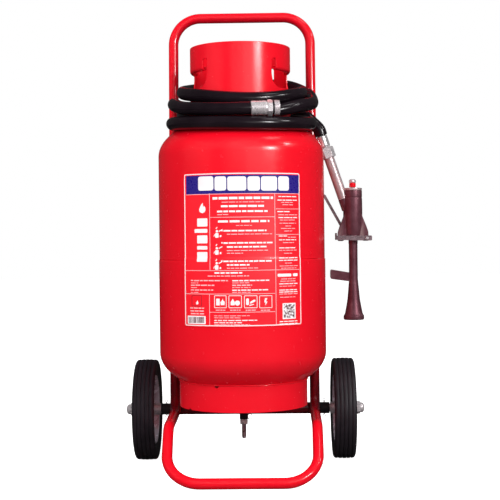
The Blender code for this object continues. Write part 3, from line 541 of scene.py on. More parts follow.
def catmull(points, per):
    pts = [Vector(p) for p in points]
    pts = [pts[0] * 2 - pts[1]] + pts + [pts[-1] * 2 - pts[-2]]
    out = []
    for i in range(1, len(pts) - 2):
        p0, p1, p2, p3 = pts[i - 1:i + 3]
        for j in range(per):
            t = j / per
            out.append(0.5 * ((2 * p1) + (p2 - p0) * t + (2 * p0 - 5 * p1 + 4 * p2 - p3) * t * t
                              + (3 * p1 - p0 - 3 * p2 + p3) * t ** 3))
    out.append(pts[-2])
    return out


def cut(ob, bm_cutter, op='DIFFERENCE'):
    me = bpy.data.meshes.new("cutter")
    bmesh.ops.recalc_face_normals(bm_cutter, faces=bm_cutter.faces)
    bm_cutter.to_mesh(me)
    bm_cutter.free()
    c = bpy.data.objects.new("cutter", me)
    bpy.context.scene.collection.objects.link(c)
    mod = ob.modifiers.new("cut", 'BOOLEAN')
    mod.operation, mod.solver, mod.object = op, 'EXACT', c
    while ob.modifiers[0] != mod:
        ob.modifiers.move(len(ob.modifiers) - 1, 0)
    others = [m for m in ob.modifiers if m != mod]
    shown = [m.show_viewport for m in others]
    for m in others:
        m.show_viewport = False
    bpy.context.view_layer.update()
    res = bpy.data.meshes.new_from_object(ob.evaluated_get(bpy.context.evaluated_depsgraph_get()))
    for m, s in zip(others, shown):
        m.show_viewport = s
    ob.modifiers.remove(mod)
    mats = list(ob.data.materials)[:1]
    ob.data = res
    res.materials.clear()
    for m in mats:
        res.materials.append(m)
    b = bmesh.new()
    b.from_mesh(res)
    bmesh.ops.remove_doubles(b, verts=b.verts, dist=1e-6)
    for f in b.faces:
        f.material_index = 0
    b.to_mesh(res)
    b.free()
    res.shade_smooth()
    res.set_sharp_from_angle(angle=radians(30))
    bpy.data.objects.remove(c, do_unlink=True)
    bpy.data.meshes.remove(me)
    return ob


def rod_bm(r, a, b, segs=32):
    """Cylinder between two points, for boolean cuts and unions."""
    a, b = Vector(a), Vector(b)
    bm = turned_bm(rod(r, 0, (b - a).length), segs)
    bm.transform(to_axis(b - a, a))
    return bm


def head(r, R=SHELL_R, depth=HEAD_DEPTH):
    return depth * sqrt(max(0.0, 1 - (r / R) ** 2))


def ell(r0, R, n):
    t1 = acos(r0 / R)
    return [t1 * i / n for i in range(n + 1)]


# ---------------------------------------------------------------- pressure shell
hole = 0.0250 + GAP + 0.0001
N = 28
up_out = [(UPPER_R * cos(t), STRAIGHT_TOP + HEAD_DEPTH * sin(t)) for t in ell(hole, UPPER_R, N)]
Ri = UPPER_R - WALL
up_in = [(Ri * cos(t), STRAIGHT_TOP + (HEAD_DEPTH - WALL) * sin(t)) for t in ell(hole, Ri, N)]
lip_ro = SHELL_R - WALL - 0.0008
body_steps = [(UPPER_R, SEAM_Z + 0.0040 + (STRAIGHT_TOP - SEAM_Z - 0.004) * i / 8) for i in range(8)]
prof = ([(lip_ro - WALL, SEAM_Z - 0.0117), (lip_ro, SEAM_Z - 0.0117), (lip_ro, SEAM_Z - 0.0010),
         (SHELL_R - 0.0013, SEAM_Z + 0.0004), (UPPER_R + 0.0002, SEAM_Z + 0.0010), (UPPER_R, SEAM_Z + 0.0024)]
        + body_steps + up_out + up_in[::-1] + [(Ri, SEAM_Z + 0.008), (lip_ro - WALL, SEAM_Z + 0.002)])
turned("cylinder_upper_shell", prof, "red_paint", "trolley", ["shell_upper"], segs=192, at=AX, angle=40)

low_out = [(SHELL_R * cos(t), STRAIGHT_BOTTOM - HEAD_DEPTH * sin(t)) for t in ell(0.0, SHELL_R, N)]
Ri = SHELL_R - WALL
low_in = [(Ri * cos(t), STRAIGHT_BOTTOM - (HEAD_DEPTH - WALL) * sin(t)) for t in ell(0.0, Ri, N)]
low_out[-1] = (0, low_out[-1][1])
low_in[-1] = (0, low_in[-1][1])
side = [(SHELL_R, STRAIGHT_BOTTOM + (SEAM_Z - 0.004 - STRAIGHT_BOTTOM) * i / 8) for i in range(8, 0, -1)]
prof = (low_in[::-1] + [(Ri, SEAM_Z - 0.0006), (Ri + 0.0012, SEAM_Z - 0.0002), (SHELL_R - 0.0010, SEAM_Z - 0.0002),
                        (SHELL_R - 0.0003, SEAM_Z - 0.0006), (SHELL_R, SEAM_Z - 0.0014)] + side + low_out)
turned("cylinder_lower_shell", prof, "red_paint", "trolley", ["shell_lower"], segs=192, at=AX, angle=40)

turned("neck_boss_fine", [(0.0155, 0.6780), (0.0180, 0.6770), (0.0235, 0.6780), (0.0250, 0.6800), (0.0250, 0.7035),
                          (0.0235, 0.7050), (0.0155, 0.7050)], "red_paint", "trolley", ["neck_boss"], segs=64, at=AX, soft=0.0006)


# ---------------------------------------------------------------- collar with its hemmed windows
def collar_mesh():
    """Rolled sheet: three windows whose cut tabs are curled inwards as hand holds."""
    bm = bmesh.new()
    R = COLLAR_R
    sw = 0.0106 / R
    rc = 0.0230           # rounded lower corners
    cols = []             # (angle, kind) kind: P panel, S slot, W window

    def spread(a, b, n, kind):
        return [(a + (b - a) * i / n, kind) for i in range(n)]

    fp, se, bw = FRONT_PANEL_HALF, SIDE_WINDOW_END, BACK_WINDOW_HALF
    seq = [(-fp, fp, "P", 34), (fp, fp + sw, "S", 6), (fp + sw, se - sw, "W", 40), (se - sw, se, "S", 6),
           (se, pi - bw, "P", 14), (pi - bw, pi - bw + sw, "S", 6), (pi - bw + sw, pi + bw - sw, "W", 48),
           (pi + bw - sw, pi + bw, "S", 6), (pi + bw, 2 * pi - se, "P", 14), (2 * pi - se, 2 * pi - se + sw, "S", 6),
           (2 * pi - se + sw, 2 * pi - fp - sw, "W", 40), (2 * pi - fp - sw, 2 * pi - fp, "S", 6)]
    for a, b, k, n in seq:
        cols += spread(a, b, n, k)
    windows = [(fp, se), (pi - bw, pi + bw), (2 * pi - se, 2 * pi - fp)]
    n = len(cols)

    def z_low(a):
        """Lower rim of the opening at angle a."""
        for w0, w1 in windows:
            if w0 - 1e-6 <= a <= w1 + 1e-6:
                d = min(a - w0, w1 - a) * R
                if d < rc:
                    return WINDOW_BOTTOM + rc - sqrt(max(0.0, rc * rc - (rc - d) ** 2))
                return WINDOW_BOTTOM
        return WINDOW_BOTTOM + rc

    def slot_drop(a):
        """1 at the edges of a slot, 0 at its middle and away from it: gives the slot a rounded top."""
        for w0, w1 in windows:
            for m0 in (w0 + sw / 2, w1 - sw / 2):
                if abs(a - m0) < sw / 2 + 1e-6:
                    return 1 - sqrt(max(0.0, 1 - (abs(a - m0) / (sw / 2)) ** 2))
        return 0.0

    zb = STRAIGHT_TOP + head(R) + 0.0002
    nb, nm, nt_ = 8, 6, 8
    corner = WINDOW_BOTTOM + rc
    cache = {}

    def V(i, key, z, r=R):
        k = (i % n, key)
        if k not in cache:
            a = cols[i % n][0]
            if key == ("t", 0):
                z -= 0.0032 * slot_drop(a)
            cache[k] = bm.verts.new((r * sin(a), AXIS_Y - r * cos(a), z))
        return cache[k]

    tops = [SLOT_TOP + (COLLAR_TOP - SLOT_TOP) * j / nt_ for j in range(nt_ + 1)]
    hem = [(R, SLOT_TOP), (R, 0.7800), (R, 0.7740), (R, 0.7690)]
    hr = 0.0060
    for j in range(1, 12):
        t = radians(200) * j / 11
        hem.append((R - hr + hr * cos(t), 0.7690 - hr * sin(t)))
    for i in range(n):
        a, kind = cols[i]
        k2 = (i + 1) % n
        for j in range(nb):
            z = lambda c, q: zb + (z_low(cols[c % n][0]) - zb) * q / nb
            bm.faces.new((V(i, ("b", j), z(i, j)), V(k2, ("b", j), z(k2, j)),
                          V(k2, ("b", j + 1), z(k2, j + 1)), V(i, ("b", j + 1), z(i, j + 1))))
        if kind == "P":
            def mid(c, q):
                if q == 0:
                    return V(c, ("b", nb), corner)
                if q == nm:
                    return V(c, ("t", 0), tops[0])
                return V(c, ("m", q), corner + (SLOT_TOP - corner) * q / nm)
            for q in range(nm):
                bm.faces.new((mid(i, q), mid(k2, q), mid(k2, q + 1), mid(i, q + 1)))
        for j in range(nt_):
            bm.faces.new((V(i, ("t", j), tops[j]), V(k2, ("t", j), tops[j]),
                          V(k2, ("t", j + 1), tops[j + 1]), V(i, ("t", j + 1), tops[j + 1])))
        if kind == "W":
            def hv(c, q):
                return V(c, ("t", 0), tops[0]) if q == 0 else V(c, ("h", q), hem[q][1], hem[q][0])
            for q in range(len(hem) - 1):
                bm.faces.new((hv(i, q + 1), hv(k2, q + 1), hv(k2, q), hv(i, q)))
    bmesh.ops.recalc_face_normals(bm, faces=bm.faces)
    # make the sheet face outwards
    f = max(bm.faces, key=lambda q: q.calc_center_median().z)
    c = f.calc_center_median()
    if f.normal.dot(Vector((c.x, c.y - AXIS_Y, 0))) < 0:
        bmesh.ops.reverse_faces(bm, faces=bm.faces)
    me = bpy.data.meshes.new("collar_guard")
    bm.to_mesh(me)
    bm.free()
    ob = bpy.data.objects.new("collar_guard", me)
    bpy.context.scene.collection.objects.link(ob)
    me.materials.append(RED)
    me.shade_smooth()
    so = ob.modifiers.new("sheet", 'SOLIDIFY')
    so.thickness = COLLAR_WALL
    so.offset = -1
    bv = ob.modifiers.new("edge", 'BEVEL')
    bv.width = 0.0011
    bv.segments = 3
    bv.limit_method = 'ANGLE'
    bv.angle_limit = radians(50)
    bv.harden_normals = True
    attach(ob, "trolley")
    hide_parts("collar")


collar_mesh()


def weld(name, path, r, up=(0, 0, 1), n_rip=None, mat="red_paint", slot="red_paint", sides=10, closed=True):
    """Painted fillet weld: a bead with a fine ripple along its length."""
    bm = bmesh.new()
    n = len(path)
    rings = []
    for i, p in enumerate(path):
        t = (path[(i + 1) % n] - path[i - 1]).normalized() if closed or 0 < i < n - 1 else \
            (path[min(i + 1, n - 1)] - path[max(i - 1, 0)]).normalized()
        nn = Vector(up)
        nn = (nn - t * nn.dot(t)).normalized()
        bb = t.cross(nn)
        rr = r * (1 + 0.10 * sin(i * 2.1) + 0.05 * sin(i * 0.37))
        rings.append([bm.verts.new(p + nn * (rr * cos(2 * pi * k / sides)) + bb * (rr * sin(2 * pi * k / sides)))
                      for k in range(sides)])
    for i in range(n if closed else n - 1):
        a, b = rings[i], rings[(i + 1) % n]
        for k in range(sides):
            m = (k + 1) % sides
            bm.faces.new((a[k], a[m], b[m], b[k]))
    if not closed:
        bm.faces.new(rings[0])
        bm.faces.new(rings[-1])
    return finish(name, bm, mat, "trolley", slot=slot, angle=60)


def circle_path(r, z, n, at=AX):
    return [Vector((at[0] + r * sin(2 * pi * i / n), at[1] - r * cos(2 * pi * i / n), z)) for i in range(n)]


weld("weld_collar", circle_path(COLLAR_R + 0.0006, STRAIGHT_TOP + head(COLLAR_R) + 0.0006, 260), 0.0022)
weld("weld_foot_ring", circle_path(FOOT_R + 0.0004, STRAIGHT_BOTTOM - head(FOOT_R) - 0.0010, 300), 0.0013)
weld("weld_neck", circle_path(0.0256, STRAIGHT_TOP + head(0.0256, UPPER_R) + 0.0006, 90), 0.0020)


# ---------------------------------------------------------------- foot ring
def foot_ring():
    bm = bmesh.new()
    n = 240
    notch_a, notch_w, notch_d = radians(-22.5), radians(2.9), 0.0062
    zt = STRAIGHT_BOTTOM - head(FOOT_R) - 0.0006
    rows = 10
    grid = []
    for i in range(n):
        a = 2 * pi * i / n
        da = (a - notch_a + pi) % (2 * pi) - pi
        top = zt - (notch_d * max(0.0, 1 - (da / notch_w) ** 2) if abs(da) < notch_w else 0.0)
        dc = (a - radians(-53.5) + pi) % (2 * pi) - pi
        bot = FOOT_BOTTOM + 0.0002 + (0.0034 * max(0.0, 1 - (dc / radians(1.8)) ** 2) if abs(dc) < radians(1.8) else 0.0)
        col = []
        for j in range(rows + 1):
            z = bot + (top - bot) * j / rows
            col.append(bm.verts.new((FOOT_R * sin(a), AXIS_Y - FOOT_R * cos(a), z)))
        grid.append(col)
    for i in range(n):
        a, b = grid[i], grid[(i + 1) % n]
        for j in range(rows):
            bm.faces.new((a[j], b[j], b[j + 1], a[j + 1]))
    bmesh.ops.recalc_face_normals(bm, faces=bm.faces)
    f = next(iter(bm.faces))
    c = f.calc_center_median()
    if f.normal.dot(Vector((c.x, c.y - AXIS_Y, 0))) < 0:
        bmesh.ops.reverse_faces(bm, faces=bm.faces)
    me = bpy.data.meshes.new("foot_ring_fine")
    bm.to_mesh(me)
    bm.free()
    ob = bpy.data.objects.new("foot_ring_fine", me)
    bpy.context.scene.collection.objects.link(ob)
    me.materials.append(RED)
    me.shade_smooth()
    so = ob.modifiers.new("sheet", 'SOLIDIFY')
    so.thickness, so.offset = FOOT_WALL, -1
    bv = ob.modifiers.new("edge", 'BEVEL')
    bv.width, bv.segments, bv.limit_method, bv.angle_limit = 0.0006, 2, 'ANGLE', radians(50)
    bv.harden_normals = True
    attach(ob, "trolley")
    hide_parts("foot_ring")


foot_ring()

# ---------------------------------------------------------------- tube frame
foot_z = TUBE_R * 0.9962
half = fillet([(0, 0, foot_z), (HALF_FOOT, 0, foot_z), (0.1385, ARM_Y, BEND_Z), (HALF_UP, BEND_Y, BEND_Z),
               (HALF_UP, TOP_Y, TOP_Z), (0, TOP_Y, TOP_Z)], [0, 0.062, 0.050, 0.035, 0.056, 0])
mirror = lambda v: Vector((-v.x, v.y, v.z))
loop_path = [mirror(p) for p in half[::-1][1:]] + half[1:-1]


def dense(path, step, closed=False):
    out = []
    n = len(path)
    for i in range(n if closed else n - 1):
        a, b = path[i], path[(i + 1) % n]
        k = max(1, int((b - a).length / step))
        out += [a.lerp(b, j / k) for j in range(k)]
    if not closed:
        out.append(path[-1])
    return out


def closed_tube(name, path, r, sides, mat, body, nodes):
    n = len(path)
    bm = bmesh.new()
    nrm = Vector((1, 0, 0))
    tp = None
    fr = []
    for i in range(n):
        t = (path[(i + 1) % n] - path[i - 1]).normalized()
        if tp is not None:
            nrm = tp.rotation_difference(t) @ nrm
        nrm = (nrm - t * nrm.dot(t)).normalized()
        fr.append((t, nrm.copy()))
        tp = t
    t0, n0 = fr[0]
    nl = tp.rotation_difference(t0) @ nrm
    nl = (nl - t0 * nl.dot(t0)).normalized()
    twist = atan2(t0.dot(nl.cross(n0)), nl.dot(n0))
    rings = []
    for i in range(n):
        t, nn = fr[i]
        nn = Matrix.Rotation(twist * i / n, 3, t) @ nn
        bb = t.cross(nn)
        rings.append([bm.verts.new(path[i] + nn * (r * cos(2 * pi * k / sides)) + bb * (r * sin(2 * pi * k / sides)))
                      for k in range(sides)])
    for i in range(n):
        a, b = rings[i], rings[(i + 1) % n]
        for k in range(sides):
            m = (k + 1) % sides
            bm.faces.new((a[k], a[m], b[m], b[k]))
    return finish(name, bm, mat, body, nodes, angle=80)


closed_tube("trolley_tube", dense(loop_path, 0.03, True), TUBE_R, 32, "red_shaded", "trolley", ["frame_tube"])

# ---------------------------------------------------------------- axle, sleeves, split pins
AXC = (0, AXLE_Y, AXLE_Z)
turned("axle_beam_fine", ring(BEAM_BORE, BEAM_R, -0.1505, 0.1505), "red_shaded", "trolley", ["axle_beam"],
       segs=48, at=AXC, axis=(1, 0, 0), soft=0.0006)
turned("axle_shaft_fine", rod(AXLE_R, -0.2350, 0.2350, 0.001), "bare_steel", "trolley", ["axle_shaft"],
       segs=48, at=AXC, axis=(1, 0, 0))
for s, sd in ((-1, "left"), (1, "right")):
    a, b = sorted((s * SLEEVE_IN, s * SLEEVE_OUT))
    sl = turned("axle_sleeve_%s_fine" % sd, ring(BEAM_BORE, BEAM_R, a, b), "black_paint", "trolley",
                ["axle_sleeve_" + sd], segs=48, at=AXC, axis=(1, 0, 0), soft=0.0007)
    x = s * COTTER_X
    legs = []
    for q in (-1, 1):
        pth = [Vector((x + q * 0.0009, AXLE_Y, AXLE_Z + 0.0150)), Vector((x + q * 0.0008, AXLE_Y, AXLE_Z - 0.0125)),
               Vector((x + q * 0.0020, AXLE_Y, AXLE_Z - 0.0150)), Vector((x + q * 0.0042, AXLE_Y, AXLE_Z - 0.0180))]
        legs.append(tube_bm(pth, 0.0007, 10, up=(0, 1, 0), round_ends=0.0002))
    eye = [Vector((x + 0.0022 * sin(t), AXLE_Y, AXLE_Z + 0.0168 - 0.0022 * cos(t)))
           for t in [radians(25 + 310 * k / 20) for k in range(21)]]
    legs.append(tube_bm(eye, 0.0007, 10, up=(0, 1, 0), round_ends=0.0002))
    finish("split_pin_%s_fine" % sd, merge_bm(*legs), "bare_steel", "trolley", ["split_pin_" + sd])
    # seam where tube frame and axle beam are welded
    base = Vector((s * HALF_UP, 0.2895, AXLE_Z))
    pts = []
    for k in range(40):
        t = 2 * pi * k / 40
        pts.append(base + Vector((0.0085 * cos(t), 0.0010 + 0.0015 * abs(sin(t)), 0.0090 * sin(t))))
    weld("weld_axle_%s" % sd, pts, 0.0017, up=(0, 1, 0))

# ---------------------------------------------------------------- wheels
TW = 0.022


def tyre_profile():
    """Cross section of the solid tyre with four shallow grooves in the tread."""
    out = [(0.0703, -0.0163), (0.0712, -0.0176), (0.0740, -0.0184), (0.0790, -0.0190), (0.0850, -0.0202), (0.0900, -0.0214),
           (0.0935, -0.0219), (0.0962, -0.0217), (0.0984, -0.0207), (0.0999, -0.0190), (0.1007, -0.0172)]
    ribs = [-0.0125, -0.0042, 0.0042, 0.0125]
    gw, gd = 0.0010, 0.0016
    crown = lambda z: WHEEL_R + 0.0002 - 0.0009 * (z / 0.0172) ** 2
    for g in ribs:
        out += [(crown(g - gw - 0.0006), g - gw - 0.0006), (crown(g) - 0.0003, g - gw), (crown(g) - gd, g - gw * 0.55),
                (crown(g) - gd, g + gw * 0.55), (crown(g) - 0.0003, g + gw), (crown(g + gw + 0.0006), g + gw + 0.0006)]
    out += [(0.1007, 0.0172), (0.0999, 0.0190), (0.0984, 0.0207), (0.0962, 0.0217), (0.0935, 0.0219), (0.0900, 0.0214),
            (0.0850, 0.0202), (0.0790, 0.0190), (0.0740, 0.0184), (0.0712, 0.0176), (0.0703, 0.0163)]
    return out


for s, sd in ((-1, "left"), (1, "right")):
    c = Vector((s * WHEEL_X, AXLE_Y, AXLE_Z))
    ax = (s, 0, 0)
    wb = "wheel_" + sd
    turned("tyre_%s_fine" % sd, tyre_profile(), "tyre_rubber", wb, ["tyre_" + sd], segs=144, at=c, axis=ax, angle=38)
    rim = turned("rim_%s_fine" % sd,
                 soften([(0.0124, 0.0130), (0.0180, 0.0130), (0.0190, 0.0030), (0.0300, 0.0022), (0.0460, 0.0015),
                         (0.0560, 0.0040), (0.0625, 0.0168), (0.0668, 0.0186), (0.0692, 0.0172), (0.0692, -0.0172),
                         (0.0668, -0.0186), (0.0650, -0.0172), (0.0600, -0.0020), (0.0560, 0.0010), (0.0460, -0.0010),
                         (0.0300, -0.0003), (0.0175, 0.0005), (0.0170, -0.0130), (0.0124, -0.0130)], 0.0015, 3),
                 "rim_plate", wb, ["rim_" + sd], segs=120, at=c, axis=ax, angle=40)
    for k in range(5):
        t = 2 * pi * (k + 0.35) / 5
        p = c + Vector((0, 0.0385 * cos(t), 0.0385 * sin(t)))
        cut(rim, rod_bm(0.0095, p - Vector((0.02, 0, 0)), p + Vector((0.02, 0, 0)), 36))
    turned("hub_bush_%s_fine" % sd, ring(BEAM_BORE, 0.0120, -0.0265, 0.0240), "bare_steel", wb, ["hub_bush_" + sd],
           segs=48, at=c, axis=ax, soft=0.0008)
    turned("axle_washer_%s_fine" % sd, ring(BEAM_BORE, 0.0150, 0.0245, 0.0265), "zinc_plate", "trolley",
           ["axle_washer_" + sd], segs=48, at=c, axis=ax, soft=0.0004)
    # cap nut: hexagon below, dome above
    hexa = turned_bm([(AXLE_R + 0.0003, 0.0270), (0.0118, 0.0270), (0.0132, 0.0280), (0.0132, 0.0330), (0.0120, 0.0345),
                      (AXLE_R + 0.0003, 0.0345)], 6)
    dome = turned_bm([(0, 0.0388), (AXLE_R + 0.0003, 0.0380), (AXLE_R + 0.0003, 0.0335), (0.0104, 0.0335), (0.0104, 0.0370),
                      (0.0097, 0.0392), (0.0080, 0.0412), (0.0055, 0.0425), (0.0028, 0.0430), (0, 0.0431)], 40)
    bm = merge_bm(hexa, dome)
    bm.transform(to_axis(ax, c))
    finish("cap_nut_%s_fine" % sd, bm, "zinc_plate", "trolley", ["cap_nut_" + sd], angle=28, bevel=0.0004)

# ---------------------------------------------------------------- saddles, base strap and hold-down
def upright_front(z):
    return BEND_Y + (z - BEND_Z) * (TOP_Y - BEND_Y) / (TOP_Z - BEND_Z) - TUBE_R / cos(0.0773) - 0.0003


def saddle(name, node, z, h, r, upright_y):
    mid = [(0.1405, upright_y)]
    n = 60
    a1 = radians(59)
    for i in range(n + 1):
        a = a1 - 2 * a1 * i / n
        mid.append((r * sin(a), AXIS_Y + r * cos(a)))
    mid.append((-0.1405, upright_y))
    t = 0.0015
    left, right = [], []
    for i, (x, y) in enumerate(mid):
        p, q = Vector(mid[max(i - 1, 0)]), Vector(mid[min(i + 1, len(mid) - 1)])
        d = (q - p).normalized()
        nn = Vector((-d.y, d.x))
        v = Vector((x, y))
        left.append(tuple(v + nn * t))
        right.append(tuple(v - nn * t))
    bm = prism_bm(left + right[::-1], h, Matrix.Translation((0, 0, z)))
    finish(name, bm, "red_shaded", "trolley", [node], bevel=0.0006, angle=30)
    for s in (-1, 1):
        pts = [Vector((s * 0.1405, upright_y + 0.0006, z + h * k / 12)) for k in range(13)]
        weld(name + ("_weld_l" if s < 0 else "_weld_r"), pts, 0.0020, up=(1, 0, 0), closed=False)


saddle("saddle_upper_fine", "saddle_upper", 0.545, 0.030, UPPER_R + 0.0023, upright_front(0.545))
saddle("saddle_lower_fine", "saddle_lower", 0.240, 0.030, SHELL_R + 0.0023, upright_front(0.240))

sy0, sy1, top, th = 0.145, 0.316, 0.1268, 0.0050
strap = [(sy0, top - th), (0.265, top - th), (0.272, 0.1150), (sy1, 0.1150), (sy1, 0.1198), (0.277, 0.1198),
         (0.269, top), (sy0, top)]
m = Matrix(((0, 0, 1, -0.025), (1, 0, 0, 0), (0, 1, 0, 0), (0, 0, 0, 1)))
bs = finish("base_strap_fine", prism_bm(strap, 0.050, m), "red_shaded", "trolley", ["base_strap"], bevel=0.0008)
cut(bs, rod_bm(0.0050, (0, AXIS_Y, 0.10), (0, AXIS_Y, 0.14)))
turned("bottom_boss_fine", ring(0.0050, 0.0140, 0.1272, 0.1496), "red_paint", "trolley", ["bottom_boss"], segs=48, at=AX, soft=0.0008)


def threaded(name, r, z0, z1, pitch, mat, node, body, at, axis=(0, 0, 1), bottom_cone=0.0, slot=None, depth=0.62):
    """Bolt shank with a rolled thread: a helical groove on a fine cylinder."""
    seg, per = 32, 8
    turns = (z1 - z0) / pitch
    rows = int(turns * per)
    bm = bmesh.new()
    rings = []
    for j in range(rows + 1):
        z = z0 + (z1 - z0) * j / rows
        col = []
        for k in range(seg):
            t = 2 * pi * k / seg
            ph = ((z - z0) / pitch - k / seg) % 1.0
            saw = abs(ph * 2 - 1)
            fade = min(1.0, (z - z0) / (pitch * 0.8), (z1 - z) / (pitch * 0.8))
            rr = r - pitch * depth * 0.5 * (1 - saw) * max(0.0, fade)
            if bottom_cone and z - z0 < bottom_cone:
                rr *= 0.72 + 0.28 * (z - z0) / bottom_cone
            col.append(bm.verts.new((rr * cos(t), rr * sin(t), z)))
        rings.append(col)
    for a, b in zip(rings[:-1], rings[1:]):
        for k in range(seg):
            m_ = (k + 1) % seg
            bm.faces.new((a[k], a[m_], b[m_], b[k]))
    bm.faces.new(rings[0])
    bm.faces.new(rings[-1])
    bm.transform(to_axis(axis, at))
    return finish(name, bm, mat, body, [node] if node else (), slot=slot, angle=25)


threaded("hold_down_stud_fine", 0.0045, 0.0620, 0.1470, 0.0015, "dark_zinc", "hold_down_stud", "trolley", AX, bottom_cone=0.004)
turned("hold_down_bush_fine", ring(0.0049, 0.0084, 0.0992, 0.1214), "black_paint", "trolley", ["hold_down_bush"], segs=48, at=AX, soft=0.0008)


def hex_nut(name, bore, rc, z0, z1, mat, body, nodes, at, axis=(0, 0, 1), slot=None):
    """Hexagon with 30 degree chamfered corners, as an exact solid."""
    h = turned_bm(ring(bore, rc, z0, z1), 6)
    h.transform(to_axis(axis, at))
    ob = finish(name, h, mat, body, nodes, slot=slot, angle=20)
    n = 60
    af = rc * cos(pi / 6)
    d = (rc - af) * 0.58
    env = turned_bm([(0, z0 - 0.0001), (af + 0.00005, z0 - 0.0001), (rc + 0.0006, z0 + d), (rc + 0.0006, z1 - d),
                     (af + 0.00005, z1 + 0.0001), (0, z1 + 0.0001)], n)
    env.transform(to_axis(axis, at))
    cut(ob, env, 'INTERSECT')
    me = ob.data
    me.set_sharp_from_angle(angle=radians(20))
    bv = ob.modifiers.new("edge", 'BEVEL')
    bv.width, bv.segments, bv.limit_method, bv.angle_limit = 0.00025, 2, 'ANGLE', radians(20)
    bv.harden_normals = True
    return ob


hex_nut("hold_down_nut_fine", 0.0050, 0.0085, 0.0895, 0.0988, "zinc_plate", "trolley", ["hold_down_nut"], AX)
lr = [Vector((0.0118 + 0.0042 * cos(t), AXIS_Y - 0.0050, 0.1042 + 0.0050 * sin(t))) for t in [2 * pi * k / 28 for k in range(26)]]
finish("stud_lock_ring", tube_bm(lr, 0.0007, 10, up=(0, 1, 0), round_ends=0.0002), "bare_steel", "trolley", slot="bare_steel")

# ---------------------------------------------------------------- valve inside the collar
VZ = NECK_TOP


def yz_frame(x):
    return Matrix(((0, 0, 1, x), (1, 0, 0, AXIS_Y), (0, 1, 0, 0), (0, 0, 0, 1)))


valve = turned("valve_body_fine",
               soften([(0.0095, 0.6830), (0.0148, 0.6830), (0.0148, VZ + 0.0016), (0.0200, VZ + 0.0018), (0.0200, VZ + 0.0080),
                       (0.0165, VZ + 0.0110), (0.0165, 0.7570), (0.0125, 0.7610), (0.0090, 0.7650), (0.0036, 0.7650),
                       (0.0036, 0.7580), (0.0050, 0.7560), (0.0050, 0.7312), (0.0095, 0.7302)], 0.0006, 2),
               "brass", "trolley", ["valve_body"], segs=64, at=AX)
ox = turned_bm(rod(0.0105, 0.0120, 0.0360, 0.0008), 40)
ox.transform(to_axis((0.7, -0.7, 0), (0, AXIS_Y, 0.7380)))
cut(valve, ox, 'UNION')
d = Vector((0.7, -0.7, 0)).normalized()
cut(valve, rod_bm(0.0070, Vector((0, AXIS_Y, 0.7380)) + d * 0.006, Vector((0, AXIS_Y, 0.7380)) + d * 0.040, 32))
for sx in (-1, 1):
    cut(valve, prism_bm([(0.0060, 0.7500), (0.0160, 0.7500), (0.0160, 0.7815), (0.0148, 0.7830), (0.0097, 0.7830), (0.0085, 0.7818)],
                        0.0030, yz_frame(-0.0015 + sx * 0.0105)), 'UNION')
PIVOT = Vector((0, AXIS_Y + 0.0115, 0.7780))
cut(valve, rod_bm(0.0022, PIVOT - Vector((0.02, 0, 0)), PIVOT + Vector((0.02, 0, 0)), 20))
torus("valve_seal_fine", 0.0170, 0.0007, "hose_rubber", "trolley", ["valve_seal"], (0, AXIS_Y, VZ + 0.0009), segs=64, sides=10,
      slot=SLOT_OF["valve_seal"])
turned("valve_lever_pin_fine", rod(0.0020, -0.0150, 0.0150, 0.0004), "bare_steel", "trolley", ["valve_lever_pin"], segs=24,
       at=PIVOT, axis=(1, 0, 0))
turned("dip_tube_fine", ring(0.0072, 0.0090, 0.1700, 0.7080), "zinc_plate", "trolley", ["dip_tube"], segs=32, at=AX, soft=0.0003)
turned("valve_stem_fine", [(0, 0.7250), (0.0068, 0.7250), (0.0068, 0.7290), (0.0031, 0.7300), (0.0031, 0.7735), (0.0015, 0.7740),
                           (0, 0.7742)], "brass", "stem", ["valve_stem"], segs=32, at=AX)


def spring(name, R, wire, z0, z1, turns, body, node, at):
    n = int(turns * 28)
    path = []
    for i in range(n + 1):
        t = i / n
        u = min(1.0, max(0.0, (t * turns - 0.75) / (turns - 1.5)))
        lo, hi = z0 + wire, z1 - wire
        z = lo + (hi - lo) * u + (0.0002 * t)
        path.append(Vector((at[0] + R * cos(2 * pi * turns * t), at[1] + R * sin(2 * pi * turns * t), z)))
    ob = finish(name, tube_bm(path, wire, 10, up=(0, 0, 1), round_ends=wire * 0.4), "bare_steel", body, [node])
    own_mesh(ob)
    return ob


spring("valve_spring_fine", 0.0078, 0.0007, 0.7085, 0.7245, 4.6, "trolley", "valve_spring",
       AX)

lev = [(0.0160, 0.7830), (0.0165, 0.7755), (0.0070, 0.7752), (-0.0040, 0.7748), (-0.0300, 0.7800), (-0.0700, 0.7880),
       (-0.0760, 0.7860), (-0.0765, 0.7885), (-0.0700, 0.7912), (-0.0300, 0.7840), (0.0020, 0.7830)]
lever = finish("valve_lever_fine", prism_bm(lev, 0.0172, yz_frame(-0.0086)), "red_paint", "lever", ["valve_lever"], bevel=0.0006)
cut(lever, rod_bm(0.0022, PIVOT - Vector((0.02, 0, 0)), PIVOT + Vector((0.02, 0, 0)), 20))
han = [(-0.0172, 0.7520), (-0.0300, 0.7520), (-0.0700, 0.7560), (-0.0760, 0.7530), (-0.0775, 0.7550), (-0.0700, 0.7590),
       (-0.0300, 0.7550), (-0.0172, 0.7550)]
handle = finish("carry_handle_fine", prism_bm(han, 0.0180, yz_frame(-0.0090)), "red_paint", "trolley", ["carry_handle"], bevel=0.0005)
for sx in (-1, 1):
    cut(handle, prism_bm([(-0.0290, 0.7522), (-0.0210, 0.7522), (-0.0210, 0.7548), (-0.0290, 0.7548)], 0.0040,
                         yz_frame(-0.0020 + sx * 0.0096)), 'UNION')
    cut(handle, prism_bm([(-0.0290, 0.7535), (-0.0210, 0.7535), (-0.0210, 0.7722), (-0.0223, 0.7735), (-0.0277, 0.7735),
                          (-0.0290, 0.7722)], 0.0020, yz_frame(-0.0010 + sx * 0.0106)), 'UNION')
